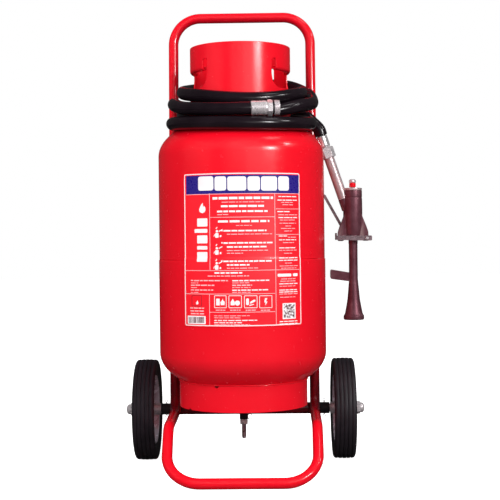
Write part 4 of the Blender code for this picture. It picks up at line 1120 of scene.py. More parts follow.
PIN = Vector((0, AXIS_Y - 0.0250, 0.7690))
cut(handle, rod_bm(0.0018, PIN - Vector((0.02, 0, 0)), PIN + Vector((0.02, 0, 0)), 16))
turned("safety_pin_fine", rod(0.0014, -0.0160, 0.0175, 0.0004), "zinc_plate", "pull_pin", ["safety_pin"], segs=20, at=PIN, axis=(1, 0, 0))
torus("safety_pin_ring_fine", 0.0096, 0.0011, "zinc_plate", "pull_pin", ["safety_pin_ring"], (PIN.x + 0.0280, PIN.y, PIN.z),
      axis=(0, 0.25, 1), segs=48, sides=12)

GX = -0.0430
gauge = turned("gauge_case_fine", soften([(0, 0.7300), (0.0170, 0.7300), (0.0180, 0.7310), (0.0180, 0.7440), (0.0165, 0.7440),
                                          (0.0165, 0.7330), (0, 0.7330)], 0.0005, 2), "brass", "trolley", ["gauge_case"],
               segs=64, at=(GX, AXIS_Y, 0))
cut(gauge, rod_bm(0.0048, (-0.0170, AXIS_Y, 0.7365), (-0.0270, AXIS_Y, 0.7365), 28), 'UNION')
turned("gauge_dial_fine", ring(0.0012, 0.0160, 0.7334, 0.7342), "dial_card", "trolley", ["gauge_dial"], segs=64, at=(GX, AXIS_Y, 0))
turned("gauge_lens_fine", rod(0.0160, 0.7410, 0.7430, 0.0004), "lens", "trolley", ["gauge_lens"], segs=64, at=(GX, AXIS_Y, 0))
M["dial_green"] = plain("dial_green", (0.02, 0.30, 0.05), 0.5)
bm = bmesh.new()
for k in range(13):
    t = radians(-120 + 20 * k)
    for r0, r1, w in ((0.0118, 0.0146, 0.0003),):
        c0, c1 = Vector((sin(t), cos(t), 0)), Vector((cos(t), -sin(t), 0))
        q = [Vector((GX, AXIS_Y, 0.7344)) + c0 * r0 - c1 * w, Vector((GX, AXIS_Y, 0.7344)) + c0 * r1 - c1 * w,
             Vector((GX, AXIS_Y, 0.7344)) + c0 * r1 + c1 * w, Vector((GX, AXIS_Y, 0.7344)) + c0 * r0 + c1 * w]
        lo = [bm.verts.new(v - Vector((0, 0, 0.0004))) for v in q]
        hi = [bm.verts.new(v) for v in q]
        bm.faces.new(hi)
        bm.faces.new(lo[::-1])
        for a in range(4):
            bm.faces.new((lo[a], lo[(a + 1) % 4], hi[(a + 1) % 4], hi[a]))
finish("gauge_ticks", bm, "black_paint", "trolley", slot="dial_card")
bm = bmesh.new()
arc = []
for k in range(13):
    t = radians(-30 + 5 * k)
    arc.append([bm.verts.new((GX + r * sin(t), AXIS_Y + r * cos(t), z)) for r, z in
                ((0.0088, 0.7340), (0.0112, 0.7340), (0.0112, 0.73435), (0.0088, 0.73435))])
for a, b in zip(arc[:-1], arc[1:]):
    for k in range(4):
        bm.faces.new((a[k], b[k], b[(k + 1) % 4], a[(k + 1) % 4]))
bm.faces.new(arc[0])
bm.faces.new(arc[-1])
finish("gauge_green_band", bm, "dial_green", "trolley", slot="dial_card")
nd = turned_bm(rod(0.0009, 0.7334, 0.7372, 0.0003), 20)
nd.transform(Matrix.Translation((GX, AXIS_Y, 0)))
pt = prism_bm([(-0.0035, -0.0008), (0.0120, -0.0003), (0.0120, 0.0003), (-0.0035, 0.0008)], 0.0008,
              Matrix.Translation((GX, AXIS_Y, 0.7360)) @ Matrix.Rotation(radians(90), 4, 'Z'))
needle = finish("gauge_needle_fine", nd, "red_paint", "needle", ["gauge_needle"])
cut(needle, pt, 'UNION')


# ---------------------------------------------------------------- hose
def hp(theta, R, z):
    a = radians(theta)
    return Vector((-R * sin(a), AXIS_Y - R * cos(a), z))


COIL = [
    (-9, 0.1385, 0.6830), (12, 0.1390, 0.6825), (45, 0.1362, 0.6885), (90, 0.1270, 0.7070), (135, 0.1290, 0.7020),
    (180, 0.1340, 0.7030), (225, 0.1280, 0.7090), (250, 0.1130, 0.7235), (270, 0.1165, 0.7270), (292, 0.1165, 0.7190),
    (325, 0.1130, 0.7070),
    (360, 0.1118, 0.7040), (405, 0.1110, 0.7145), (450, 0.1107, 0.7300), (495, 0.1110, 0.7450), (540, 0.1120, 0.7560),
    (585, 0.1210, 0.7510), (610, 0.1375, 0.7300), (630, 0.1380, 0.7080), (660, 0.1325, 0.6950), (690, 0.1175, 0.6800),
    (720, 0.1115, 0.6785), (765, 0.1107, 0.6790), (810, 0.1107, 0.6850), (855, 0.1107, 0.6810), (900, 0.1107, 0.6810),
    (945, 0.1135, 0.6800), (970, 0.1240, 0.6750), (990, 0.1330, 0.6690), (1020, 0.1415, 0.6600), (1050, 0.1465, 0.6560),
    (1080, 0.1480, 0.6555), (1125, 0.1425, 0.6610), (1170, 0.1300, 0.6688), (1215, 0.1360, 0.6690), (1260, 0.1420, 0.6700),
    (1290, 0.1440, 0.6740),
]


def cyl(p):
    a = atan2(-p.x, AXIS_Y - p.y) % (2 * pi)
    return (1080 + a * 180 / pi, sqrt(p.x ** 2 + (p.y - AXIS_Y) ** 2), p.z)


TAIL = [Vector((0.1020, 0.2730, 0.6840)), Vector((0.1270, 0.2490, 0.6870)), Vector((0.1425, 0.2435, 0.6740)),
        SWIVEL - GD * 0.0605, SWIVEL - GD * 0.0470]
coarse = [hp(*v) for v in catmull(COIL + [cyl(p) for p in TAIL], 3)]
coil = [hp(*v) for v in catmull(COIL + [cyl(p) for p in TAIL], 14)]
finish("hose_fine", tube_bm(coil, HOSE_R, 28, up=(0, 0, 1), round_ends=0.0012), "hose_rubber", "trolley", ["hose"], angle=60)

# inlet fitting
p0 = coarse[0]
d0 = -(coarse[1] - coarse[0]).normalized()
turned("inlet_ferrule_fine", soften([(0.0075, GAP), (0.0127, GAP), (0.0133, 0.0022), (0.0132, 0.0140), (0.0133, 0.0270), (0.0127, 0.0300),
                                     (0.0075, 0.0300)], 0.0008, 3),
       "zinc_plate", "trolley", ["inlet_ferrule"], segs=64, at=p0, axis=d0)
prof = [(0.0045, GAP), (0.0070, GAP), (0.0070, 0.0400), (0.0098, 0.0408), (0.0098, 0.0427), (0.0138, 0.0427)]
z = 0.0427
while z < 0.0512:
    prof += [(0.0138, z + 0.0004), (0.0130, z + 0.0009), (0.0130, z + 0.0011), (0.0138, z + 0.0016)]
    z += 0.0018
prof += [(0.0132, 0.0525), (0.0100, 0.0525), (0.0092, 0.0515), (0.0045, 0.0515)]
turned("inlet_nipple_fine", prof, "zinc_plate", "trolley", ["inlet_nipple"], segs=64, at=p0, axis=d0, angle=50)
hex_nut("inlet_nut_fine", 0.0080, 0.0150, 0.0304, 0.0395, "zinc_plate", "hose_nut", ["inlet_nut"], p0, d0)
torus("inlet_oring_fine", 0.0125, 0.0012, "hose_rubber", "trolley", ["inlet_oring"], p0 + d0 * 0.0411, axis=d0, segs=64, sides=14,
      slot=SLOT_OF["inlet_oring"])

# ---------------------------------------------------------------- discharge gun
turned("gun_nipple_fine", soften([(0.0040, -0.0465), (0.0080, -0.0465), (0.0104, -0.0455), (0.0107, -0.0440), (0.0107, -0.0260),
                                  (0.0104, -0.0235), (0.0085, -0.0215),
                                  (0.0057, -0.0215), (0.0057, -0.0040), (0.0040, -0.0040)], 0.0006, 2),
       "polished", BODY_OF["gun_nipple"], ["gun_nipple"], segs=48, at=SWIVEL, axis=GD)
hex_nut("gun_swivel_nut_fine", 0.0062, 0.0148, -0.0210, 0.0000, "zinc_plate", "gun", ["gun_swivel_nut"], SWIVEL, GD)
bm = tube_bm([SWIVEL + GD * 0.0003, SWIVEL + GD * 0.0850], 0.0100, 48, bore=0.0072, up=(0, 1, 0))
finish("gun_tube_fine", bm, "gun_steel", "gun", ["gun_tube"])
BT, BB = 0.5400, 0.4440
gb = turned("gun_body_fine", soften([(0.0062, BB), (0.0150, BB + 0.0020), (0.0170, BB + 0.0120), (0.0188, 0.4750),
                                     (0.0190, 0.5050), (0.0187, 0.5240), (0.0181, 0.5252), (0.0181, 0.5264), (0.0186, 0.5276),
                                     (0.0186, BT), (0.0090, BT), (0.0090, BB + 0.0160), (0.0062, BB + 0.0120)], 0.0008, 3),
            "gun_coat", "gun", ["gun_body"], segs=64, at=(GUN_X, GUN_Y, 0))
for sx in (-1, 1):
    w = [(0.0120, 0.5000), (0.0165, 0.4930), (0.0205, 0.4830), (0.0258, 0.4700), (0.0297, 0.4580), (0.0301, 0.4500),
         (0.0300, 0.4418), (0.0285, 0.4400), (0.0215, 0.4400), (0.0190, 0.4410), (0.0120, 0.4480)]
    cut(gb, prism_bm([(sx * x, z) for x, z in w], 0.0200, Matrix(((1, 0, 0, GUN_X), (0, 0, 1, GUN_Y - 0.0100), (0, 1, 0, 0), (0, 0, 0, 1)))),
        'UNION')
e = SWIVEL + GD * 0.0853
bb_ = turned_bm(rod(0.0102, 0.0000, 0.0230, 0.0006), 40)
bb_.transform(to_axis(GD, e))
cut(gb, bb_, 'UNION')
cut(gb, rod_bm(0.0103, e - GD * 0.045, e, 40))
cut(gb, rod_bm(0.0089, (GUN_X, GUN_Y, BB + 0.016), (GUN_X, GUN_Y, BT + 0.002), 40))
FULCRUM = Vector((GUN_X + 0.0262, GUN_Y, 0.4455))
cut(gb, rod_bm(0.0022, FULCRUM - Vector((0, 0.04, 0)), FULCRUM + Vector((0, 0.04, 0)), 20))
bv = gb.modifiers.new("edge", 'BEVEL')
bv.width, bv.segments, bv.limit_method, bv.angle_limit = 0.0009, 3, 'ANGLE', radians(40)
bv.harden_normals = True
turned("lever_fulcrum_pin_fine", soften([(0, -0.0260), (0.0030, -0.0260), (0.0030, -0.0232), (0.0018, -0.0230), (0.0018, 0.0240),
                                         (0, 0.0240)], 0.0005, 3, closed=False),
       "zinc_plate", "gun", ["lever_fulcrum_pin"], segs=32, at=FULCRUM, axis=(0, 1, 0))
cap = turned("gun_cap_fine", soften(ring(0.0039, 0.0186, BT + GAP, BT + 0.0048), 0.0009, 3), "gun_steel", "gun", ["gun_cap"],
             segs=64, at=(GUN_X, GUN_Y, 0))
cut(cap, rod_bm(0.0103, e - GD * 0.060, e, 40))
turned("gun_spindle_fine", soften([(0, 0.4550), (0.0040, 0.4602), (0.0080, 0.4614), (0.0080, 0.4660), (0.0034, 0.4670),
                                   (0.0034, 0.5553), (0.0066, 0.5556), (0.0070, 0.5570), (0.0068, 0.5598), (0.0046, 0.5622), (0, 0.5622)], 0.0004, 2, closed=False),
       "zinc_plate", "spindle", ["gun_spindle"], segs=40, at=(GUN_X, GUN_Y, 0))
knob = []
kb = bmesh.new()
ks = 48
rr = []
for z, k in ((0.5462, 0.92), (0.5468, 1.0), (0.5542, 1.0), (0.5549, 0.90)):
    row = []
    for i in range(ks):
        t = 2 * pi * i / ks
        r = 0.0066 * k * (1 - 0.07 * (0.5 + 0.5 * cos(8 * t)) ** 3)
        row.append(kb.verts.new((GUN_X + r * cos(t), GUN_Y + r * sin(t), z)))
    rr.append(row)
inn = [[kb.verts.new((GUN_X + 0.0036 * cos(2 * pi * i / ks), GUN_Y + 0.0036 * sin(2 * pi * i / ks), z)) for i in range(ks)]
       for z in (0.5549, 0.5462)]
rr += inn
for a in range(len(rr)):
    u, v = rr[a], rr[(a + 1) % len(rr)]
    for i in range(ks):
        j = (i + 1) % ks
        kb.faces.new((u[i], u[j], v[j], v[i]))
finish("gun_knob_fine", kb, "red_paint", "spindle", ["gun_knob"], angle=40)
spring("gun_spring_fine", 0.0062, 0.0007, 0.4675, 0.5390, 9.0, "gun", "gun_spring",
       (GUN_X, GUN_Y, 0))
NZ = [(0.0045, 0.4530), (0.0058, 0.4530), (0.0058, 0.4437), (0.0086, 0.4437), (0.0091, 0.4425), (0.0091, 0.4350), (0.0086, 0.4335),
      (0.0087, 0.4300), (0.0086, 0.4000), (0.0088, 0.3640),
      (0.0099, 0.3520), (0.0124, 0.3250), (0.0146, 0.3120), (0.0172, 0.2985), (0.0184, 0.2948), (0.0203, 0.2922), (0.0205, 0.2890), (0.0204, 0.2860),
      (0.0198, 0.2846), (0.0188, 0.2840), (0.0170, 0.2842), (0.0150, 0.2985), (0.0105, 0.3250), (0.0070, 0.3640)]
nozzle = turned("nozzle_fine", soften(NZ, 0.0012, 3)[::-1], "gun_coat", "gun", ["nozzle"], segs=64, at=(GUN_X, GUN_Y, 0))
lug = prism_bm([(-0.0076, 0.3600), (-0.0430, 0.3649), (-0.0452, 0.3660), (-0.0460, 0.3690), (-0.0460, 0.3803), (-0.0452, 0.3830),
                (-0.0430, 0.3838), (-0.0076, 0.3775)], 0.0060,
               Matrix(((1, 0, 0, GUN_X), (0, 0, 1, GUN_Y - 0.0030), (0, 1, 0, 0), (0, 0, 0, 1))))
cut(nozzle, lug, 'UNION')
bv = nozzle.modifiers.new("edge", 'BEVEL')
bv.width, bv.segments, bv.limit_method, bv.angle_limit = 0.0010, 3, 'ANGLE', radians(45)
bv.harden_normals = True

YK = [(0.0360, 0.4420), (0.0360, 0.4490), (0.0345, 0.4505), (-0.0338, 0.4505), (-0.0345, 0.4498), (-0.0345, 0.4425), (0.0250, 0.4405),
      (0.0345, 0.4405)]
yz = Matrix(((1, 0, 0, GUN_X), (0, 0, 1, 0), (0, 1, 0, 0), (0, 0, 0, 1)))
gl = finish("gun_lever_fine", prism_bm(YK, 0.0020, Matrix.Translation((0, GUN_Y - 0.0205, 0)) @ yz), "dark_zinc", "squeeze_lever",
            ["gun_lever"])
cut(gl, prism_bm(YK, 0.0020, Matrix.Translation((0, GUN_Y + 0.0185, 0)) @ yz), 'UNION')
cut(gl, prism_bm([(-0.0346, 0.4440), (-0.0346, 0.4560), (-0.0326, 0.4560), (-0.0326, 0.4440)], 0.0400,
                 Matrix.Translation((0, GUN_Y - 0.0200, 0)) @ yz), 'UNION')
# finger strap: a flat bar that leaves the rear cheek and rises to the left, with a rounded end
sd = Vector((-0.4814, 0.8765))
sn = Vector((sd.y, -sd.x))
s0, s1, hw = Vector((-0.0097, 0.4485)), Vector((-0.0549, 0.5308)), 0.0027
out = [s0 + sn * hw] + [s1 + sn * (hw * cos(pi * k / 10)) + sd * (hw * sin(pi * k / 10)) for k in range(11)] + [s0 - sn * hw]
cut(gl, prism_bm([tuple(p) for p in out], 0.0055, Matrix.Translation((0, GUN_Y + 0.0172, 0)) @ yz), 'UNION')
cut(gl, rod_bm(0.0022, FULCRUM - Vector((0, 0.04, 0)), FULCRUM + Vector((0, 0.04, 0)), 20))
bv = gl.modifiers.new("edge", 'BEVEL')
bv.width, bv.segments, bv.limit_method, bv.angle_limit = 0.0004, 2, 'ANGLE', radians(40)
bv.harden_normals = True

# ---------------------------------------------------------------- camera model, also used to lay out the label
CAM = Vector((0.0550, -2.103, 0.4427))
YAW = radians(0.995)
ROLL = radians(0.63)
FPX = 1180.0


def on_shell(px, py, R=SHELL_R):
    """Arc length from the front and height of the shell point that lies at a place of the 500 x 500 view."""
    xu = 250 + (px - 250) - (py - 240.7) * ROLL
    yu = py + (px - 250) * ROLL
    lo_, hi_ = radians(-75), radians(75)
    for _ in range(40):
        a = (lo_ + hi_) / 2
        P = Vector((R * sin(a), AXIS_Y - R * cos(a), 0)) - Vector((CAM.x, CAM.y, 0))
        xc = P.x * cos(YAW) + P.y * sin(YAW)
        dp = -P.x * sin(YAW) + P.y * cos(YAW)
        x = 250 + FPX * xc / dp
        if x < xu:
            lo_ = a
        else:
            hi_ = a
    return R * a, CAM.z + (240.7 - yu) * dp / FPX


def r_of(z):
    t = min(1.0, max(0.0, (z - (SEAM_Z + 0.0008)) / 0.0052))
    return SHELL_R + (UPPER_R - SHELL_R) * t * t * (3 - 2 * t)


class Sheet:
    """Flat shapes in (arc length, height), sliced, given a thickness and rolled round the shell."""

    def __init__(self):
        self.bm = bmesh.new()

    def poly(self, pts):
        vs = [self.bm.verts.new((x, z, 0)) for x, z in pts]
        try:
            self.bm.faces.new(vs)
        except ValueError:
            pass

    def band(self, outer, inner):
        o = [self.bm.verts.new((x, z, 0)) for x, z in outer]
        i_ = [self.bm.verts.new((x, z, 0)) for x, z in inner]
        n = len(o)
        for k in range(n):
            m_ = (k + 1) % n
            self.bm.faces.new((o[k], o[m_], i_[m_], i_[k]))

    def build(self, name, mat, h0, h1, step=0.0055):
        bm = self.bm
        k = -26
        while k <= 26:
            bmesh.ops.bisect_plane(bm, geom=bm.verts[:] + bm.edges[:] + bm.faces[:], dist=1e-7, plane_co=(k * step, 0, 0), plane_no=(1, 0, 0))
            k += 1
        for zz in (SEAM_Z + 0.0008, SEAM_Z + 0.0022, SEAM_Z + 0.0034, SEAM_Z + 0.0046, SEAM_Z + 0.0060):
            bmesh.ops.bisect_plane(bm, geom=bm.verts[:] + bm.edges[:] + bm.faces[:], dist=1e-7, plane_co=(0, zz, 0), plane_no=(0, 1, 0))
        bmesh.ops.recalc_face_normals(bm, faces=bm.faces)
        for f in bm.faces:
            if f.normal.z < 0:
                f.normal_flip()
        top = bm.faces[:]
        res = bmesh.ops.extrude_face_region(bm, geom=top, use_keep_orig=True)
        moved = {v for v in res["geom"] if isinstance(v, bmesh.types.BMVert)}
        bm.verts.ensure_lookup_table()
        for v in bm.verts:
            h = h1 if v in moved else h0
            s_, z_ = v.co.x, v.co.y
            r = r_of(z_) + h
            a = s_ / SHELL_R
            v.co = Vector((r * sin(a), AXIS_Y - r * cos(a), z_))
        return finish(name, bm, mat, "trolley", slot="label_film", angle=50)


def P(x, y):
    return on_shell(x, y)


def rect(sh, x0, y0, x1, y1, r=0.0, n=5):
    """Rectangle with rounded corners; places are in the 500 x 500 view."""
    cx, cy = (x0 + x1) / 2, (y0 + y1) / 2
    s0, s1 = P(x0, cy)[0], P(x1, cy)[0]
    z1, z0 = P(cx, y0)[1], P(cx, y1)[1]
    sh.poly(rr_pts(s0, z0, s1, z1, r, n))


def rr_pts(s0, z0, s1, z1, r, n=5):
    if r <= 0:
        return [(s0, z0), (s1, z0), (s1, z1), (s0, z1)]
    out = []
    for cx, cz, a0 in ((s1 - r, z0 + r, -90), (s1 - r, z1 - r, 0), (s0 + r, z1 - r, 90), (s0 + r, z0 + r, 180)):
        for k in range(n + 1):
            t = radians(a0 + 90 * k / n)
            out.append((cx + r * cos(t), cz + r * sin(t)))
    return out


def frame_of(sh, x0, y0, x1, y1, w, r):
    cx, cy = (x0 + x1) / 2, (y0 + y1) / 2
    s0, s1 = P(x0, cy)[0], P(x1, cy)[0]
    z1, z0 = P(cx, y0)[1], P(cx, y1)[1]
    sh.band(rr_pts(s0, z0, s1, z1, r), rr_pts(s0 + w, z0 + w, s1 - w, z1 - w, max(r - w, 1e-4)))


def words(sh, x0, x1, y, h, seed, lo=2.0, hi=6.5, gap=0.9):
    """A line of small plain bars where a line of print would be."""
    rnd = random.Random(seed)
    x = x0
    z = P((x0 + x1) / 2, y)[1]
    while x < x1 - 0.8:
        w = min(rnd.uniform(lo, hi), x1 - x)
        s0, s1 = P(x, y)[0], P(x + w, y)[0]
        sh.poly([(s0, z - h / 2), (s1, z - h / 2), (s1, z + h / 2), (s0, z + h / 2)])
        x += w + gap


def disc(sh, x, y, r, n=20, sx=1.0):
    s_, z_ = P(x, y)
    sh.poly([(s_ + r * sx * cos(2 * pi * k / n), z_ + r * sin(2 * pi * k / n)) for k in range(n)])


def shape(sh, x, y, pts, k=0.001):
    s_, z_ = P(x, y)
    sh.poly([(s_ + a * k, z_ + b * k) for a, b in pts])


white, soft, navy, dark, film = Sheet(), Sheet(), Sheet(), Sheet(), Sheet()
top_w = Sheet()
LZ0, LZ1 = P(242, 327.0)[1], P(242, 172.0)[1]
S0, S1 = P(184.2, 250)[0], P(300.8, 250)[0]
film.poly(rr_pts(S0, LZ0, S1, LZ1, 0.004))
frame_of(white, 185.0, 172.8, 300.0, 326.2, 0.0017, 0.0035)
rect(navy, 186.2, 174.6, 298.8, 193.2, 0.0006)
# plain blocks on the blue band
x = 198.2
for w in (15.2, 11.6, 19.0, 12.4, 16.0, 10.6):
    rect(top_w, x, 176.4, x + w, 190.6, 0.0042)
    x += w + 1.15
LW = 0.0009


def vline(sh, x, y0, y1, w=LW):
    s_ = P(x, (y0 + y1) / 2)[0]
    z1, z0 = P(x, y0)[1], P(x, y1)[1]
    sh.poly([(s_ - w / 2, z0), (s_ + w / 2, z0), (s_ + w / 2, z1), (s_ - w / 2, z1)])


def hline(sh, x0, x1, y, w=LW):
    z_ = P((x0 + x1) / 2, y)[1]
    s0, s1 = P(x0, y)[0], P(x1, y)[0]
    sh.poly([(s0, z_ - w / 2), (s1, z_ - w / 2), (s1, z_ + w / 2), (s0, z_ + w / 2)])


vline(soft, 209.8, 193.4, 270.0)
vline(soft, 209.8, 294.4, 325.3)
vline(soft, 275.4, 193.4, 325.3)
hline(soft, 186.3, 298.8, 193.6)
hline(soft, 210.3, 274.9, 217.0)
hline(soft, 186.2, 298.8, 270.4)
hline(soft, 186.2, 274.9, 294.0)
hline(soft, 210.3, 274.9, 312.2)
hline(soft, 275.9, 298.8, 208.9)
hline(soft, 275.9, 298.8, 234.4)
# left cell: flame over a stack of plain bars
flame = [(0, -9.5), (4.6, -7.6), (6.9, -3.4), (6.0, 1.6), (3.6, 4.4), (3.4, 1.4), (1.6, 4.6), (1.4, 9.8), (-1.8, 7.0), (-4.0, 3.0),
         (-5.0, 0.8), (-6.6, -2.6), (-5.2, -7.0)]
shape(white, 202.2, 208.2, flame, 0.00098)
for y0, y1, xa, xb in ((218.4, 226.6, 197.2, 207.4), (229.0, 232.8, 194.6, 207.4), (235.4, 243.4, 197.2, 207.4), (246.0, 249.6, 197.2, 207.4),
                       (252.0, 261.8, 197.2, 207.4)):
    rect(white, xa, y0, xb, y1, 0.0016)
# middle heading cell
words(white, 212.6, 273.0, 197.9, 0.0044, 1, 4, 10, 1.2)
words(soft, 221.7, 264.0, 201.9, 0.0012, 2)
words(white, 221.0, 264.0, 206.0, 0.0036, 3, 5, 12, 1.2)
words(white, 217.2, 267.6, 211.2, 0.0032, 4, 4, 9, 1.1)
words(soft, 217.2, 229.0, 214.6, 0.0012, 5)
words(white, 218.0, 269.4, 221.2, 0.0038, 6, 6, 11, 1.6)
words(soft, 236.0, 252.0, 225.4, 0.0011, 7)
for k, (ya, rows_) in enumerate(((232.5, ((230.6, 223.5, 266.5, 1), (234.0, 227.0, 272.0, 0))),
                                 (249.5, ((242.8, 223.5, 272.5, 1), (246.8, 227.0, 266.5, 1), (250.4, 227.0, 268.0, 0), (253.2, 227.0, 243.0, 0))),
                                 (264.5, ((261.1, 223.5, 271.5, 1), (264.9, 227.0, 249.5, 1), (268.1, 227.0, 258.0, 0))))):
    for i, (yy, xa, xb, big) in enumerate(rows_):
        words(white if big else soft, xa, xb, yy, 0.0027 if big else 0.0013, 20 + 5 * k + i, 2.5, 7.5, 0.9)
        if i == 0:
            disc(white, 223.6 - 1.6, yy, 0.0014)
    # small picture: a figure of a hand pump made of plain shapes
    rect(white, 215.2, ya + 0.6, 218.6, ya + 5.2, 0.0012)
    disc(white, 216.9, ya - 1.2, 0.0022)
    shape(white, 219.6, ya - 1.5, [(-1.2, -1.6), (5.4, 1.8), (5.0, 3.2), (-1.8, 0.2)])
    shape(white, 217.2, ya - 3.6, [(-3.0, 0.6), (-1.6, -0.4), (0.4, 2.8), (-0.6, 3.8)])
    shape(white, 215.0, ya + 2.0, [(-2.6, -3.4), (-1.6, -4.0), (0.0, -0.2), (-1.2, 0.4)])
    shape(white, 220.4, ya + 3.6, [(-1.0, -2.0), (1.6, -1.4), (2.0, 1.0), (0.2, 2.2), (-1.4, 0.6)])
# wide cell
words(white, 214.7, 242.3, 272.9, 0.0026, 41, 3, 8, 1.0)
words(soft, 208.0, 249.0, 276.0, 0.0016, 42)
for i, (yy, xb) in enumerate(((280.6, 228.0), (285.2, 214.5), (290.0, 214.5))):
    words(soft, 191.2, xb, yy, 0.0020, 43 + i)
    words(soft, 191.2, 198.5, yy + 2.3, 0.0011, 53 + i)
for i, (yy, xb) in enumerate(((280.5, 269.0), (285.2, 252.0), (290.0, 269.5))):
    words(white if i != 1 else soft, 232.4, xb, yy, 0.0021, 46 + i)
    words(soft, 232.4, 250.5, yy + 2.3, 0.0011, 56 + i)
# bottom left: small flame badge, three lines and bars of uneven width
frame_of(dark, 192.2, 295.4, 202.0, 306.2, 0.0007, 0.0010)
shape(white, 197.4, 302.4, [(0, -4.4), (2.4, -3.4), (3.4, -1.0), (2.2, 1.6), (1.0, 4.4), (-0.2, 1.8), (-1.6, 0.8), (-3.0, -1.2), (-2.2, -3.6)],
      0.00088)
for i, yy in enumerate((308.0, 310.9, 313.7)):
    words(soft, 190.6 + 0.3 * i, 204.3, yy, 0.0019, 60 + i, 2, 5, 0.8)
rect(white, 188.2, 315.8, 205.9, 323.9, 0.0003)
rnd = random.Random(5)
x = 189.4
bars = Sheet()
while x < 204.6:
    w = rnd.choice((0.25, 0.35, 0.55, 0.75))
    rect(bars, x, 316.9, x + w, 322.8)
    x += w + rnd.choice((0.3, 0.45, 0.6))
# four outlined boxes with plain symbols
for k, (xa, xb) in enumerate(((214.5, 226.6), (228.7, 241.8), (244.1, 257.3), (259.2, 272.0))):
    frame_of(white, xa, 295.4, xb, 308.0, 0.0010, 0.0014)
    cx = (xa + xb) / 2
    if k == 0:
        rect(white, cx - 4.2, 298.6, cx - 0.7, 305.4, 0.0010)
        shape(white, cx + 2.0, 302.0, [(-3.2, -5.6), (3.8, -5.6), (4.2, 0.6), (2.0, 2.2), (0.4, 6.0), (-1.6, 1.6), (-3.6, 0.4)])
    elif k == 1:
        shape(white, cx - 2.4, 302.4, [(-3.8, -5.2), (3.4, -5.2), (3.6, 0.8), (0.0, 6.6), (-3.8, 0.8)])
        disc(white, cx + 2.2, 303.0, 0.0046)
    elif k == 2:
        rect(white, cx - 4.6, 298.4, cx - 1.8, 305.0, 0.0018)
        shape(white, cx + 1.6, 302.0, [(-3.8, -3.2), (5.6, 1.2), (5.6, 4.0), (2.6, 4.2), (-3.8, 0.4)])
        shape(white, cx + 0.6, 305.2, [(-3.4, -1.2), (4.8, 1.0), (4.4, 2.2), (-3.8, 0.6)])
    else:
        shape(white, cx, 301.8, [(-1.2, -6.8), (3.4, 0.6), (0.6, 0.8), (3.2, 6.8), (-1.2, 6.8), (-3.0, -1.0), (-0.4, -1.0)])
    words(soft, xa + 1.6, xb - 1.2, 310.1, 0.0015, 70 + k, 1.5, 4, 0.6)
for i, (yy, xb, big) in enumerate(((315.8, 249.8, 0), (317.8, 242.0, 0), (320.4, 258.0, 1), (322.7, 241.8, 1), (324.7, 250.0, 0))):
    words(white if big else soft, 214.4, xb, yy, 0.0017 if big else 0.0011, 80 + i)
# right column
rowsR = [(196.6, 278.5, 296.0, 1), (200.2, 277.5, 296.8, 1), (202.4, 281.5, 293.0, 0), (204.8, 282.5, 293.0, 0),
         (211.6, 277.4, 290.5, 1), (214.8, 278.5, 297.0, 0), (217.6, 278.5, 297.0, 1), (220.0, 280.0, 296.0, 0), (223.2, 279.5, 296.0, 0),
         (226.0, 285.5, 291.0, 0), (228.4, 281.0, 295.0, 0), (231.0, 284.0, 292.0, 0),
         (236.0, 278.8, 287.0, 1), (237.2, 288.0, 296.0, 0), (239.8, 279.0, 296.0, 1), (242.6, 283.0, 294.0, 0), (247.8, 279.2, 296.4, 1),
         (250.2, 279.2, 296.4, 0), (253.2, 284.0, 292.0, 0), (257.8, 278.8, 297.0, 1), (260.2, 278.8, 297.0, 1), (263.0, 284.8, 291.6, 0),
         (265.8, 279.4, 297.2, 0), (268.0, 281.0, 296.0, 0),
         (278.8, 281.0, 295.0, 0), (281.0, 280.0, 296.0, 0), (283.6, 279.0, 297.0, 1), (286.0, 279.4, 296.2, 0), (289.8, 279.0, 297.0, 1),
         (291.8, 279.0, 297.0, 1), (293.8, 279.0, 297.0, 0), (297.0, 280.0, 295.0, 0),
         (321.2, 279.4, 297.0, 1), (323.6, 279.4, 297.0, 1)]
for i, (yy, xa, xb, big) in enumerate(rowsR):
    words(white if big else soft, xa, xb, yy, 0.0017 if big else 0.0012, 100 + i, 2, 6, 0.7)
rect(white, 277.4, 273.6, 291.0, 276.6, 0.0020)
rect(white, 292.6, 273.2, 297.2, 276.2, 0.0020)
# square of plain cells
rect(white, 282.4, 303.0, 295.2, 318.8, 0.0008)
rnd = random.Random(11)
for i in range(11):
    for j in range(13):
        if rnd.random() < 0.48:
            rect(bars, 283.5 + i * 0.96, 304.3 + j * 1.02, 283.5 + (i + 0.92) * 0.96, 304.3 + (j + 0.92) * 1.02)

lab = film.build("label_sheet", "label_film", 0.00025, 0.00080)
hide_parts("label")
white.build("label_white_print", "print_white", 0.00060, 0.00112)
soft.build("label_fine_print", "print_soft", 0.00060, 0.00104)
navy.build("label_blue_band", "print_navy", 0.00060, 0.00100)
dark.build("label_dark_print", "print_dark", 0.00060, 0.00100)
top_w.build("label_band_blocks", "print_white", 0.00090, 0.00124)
bars.build("label_dark_bars", "print_dark", 0.00100, 0.00126)

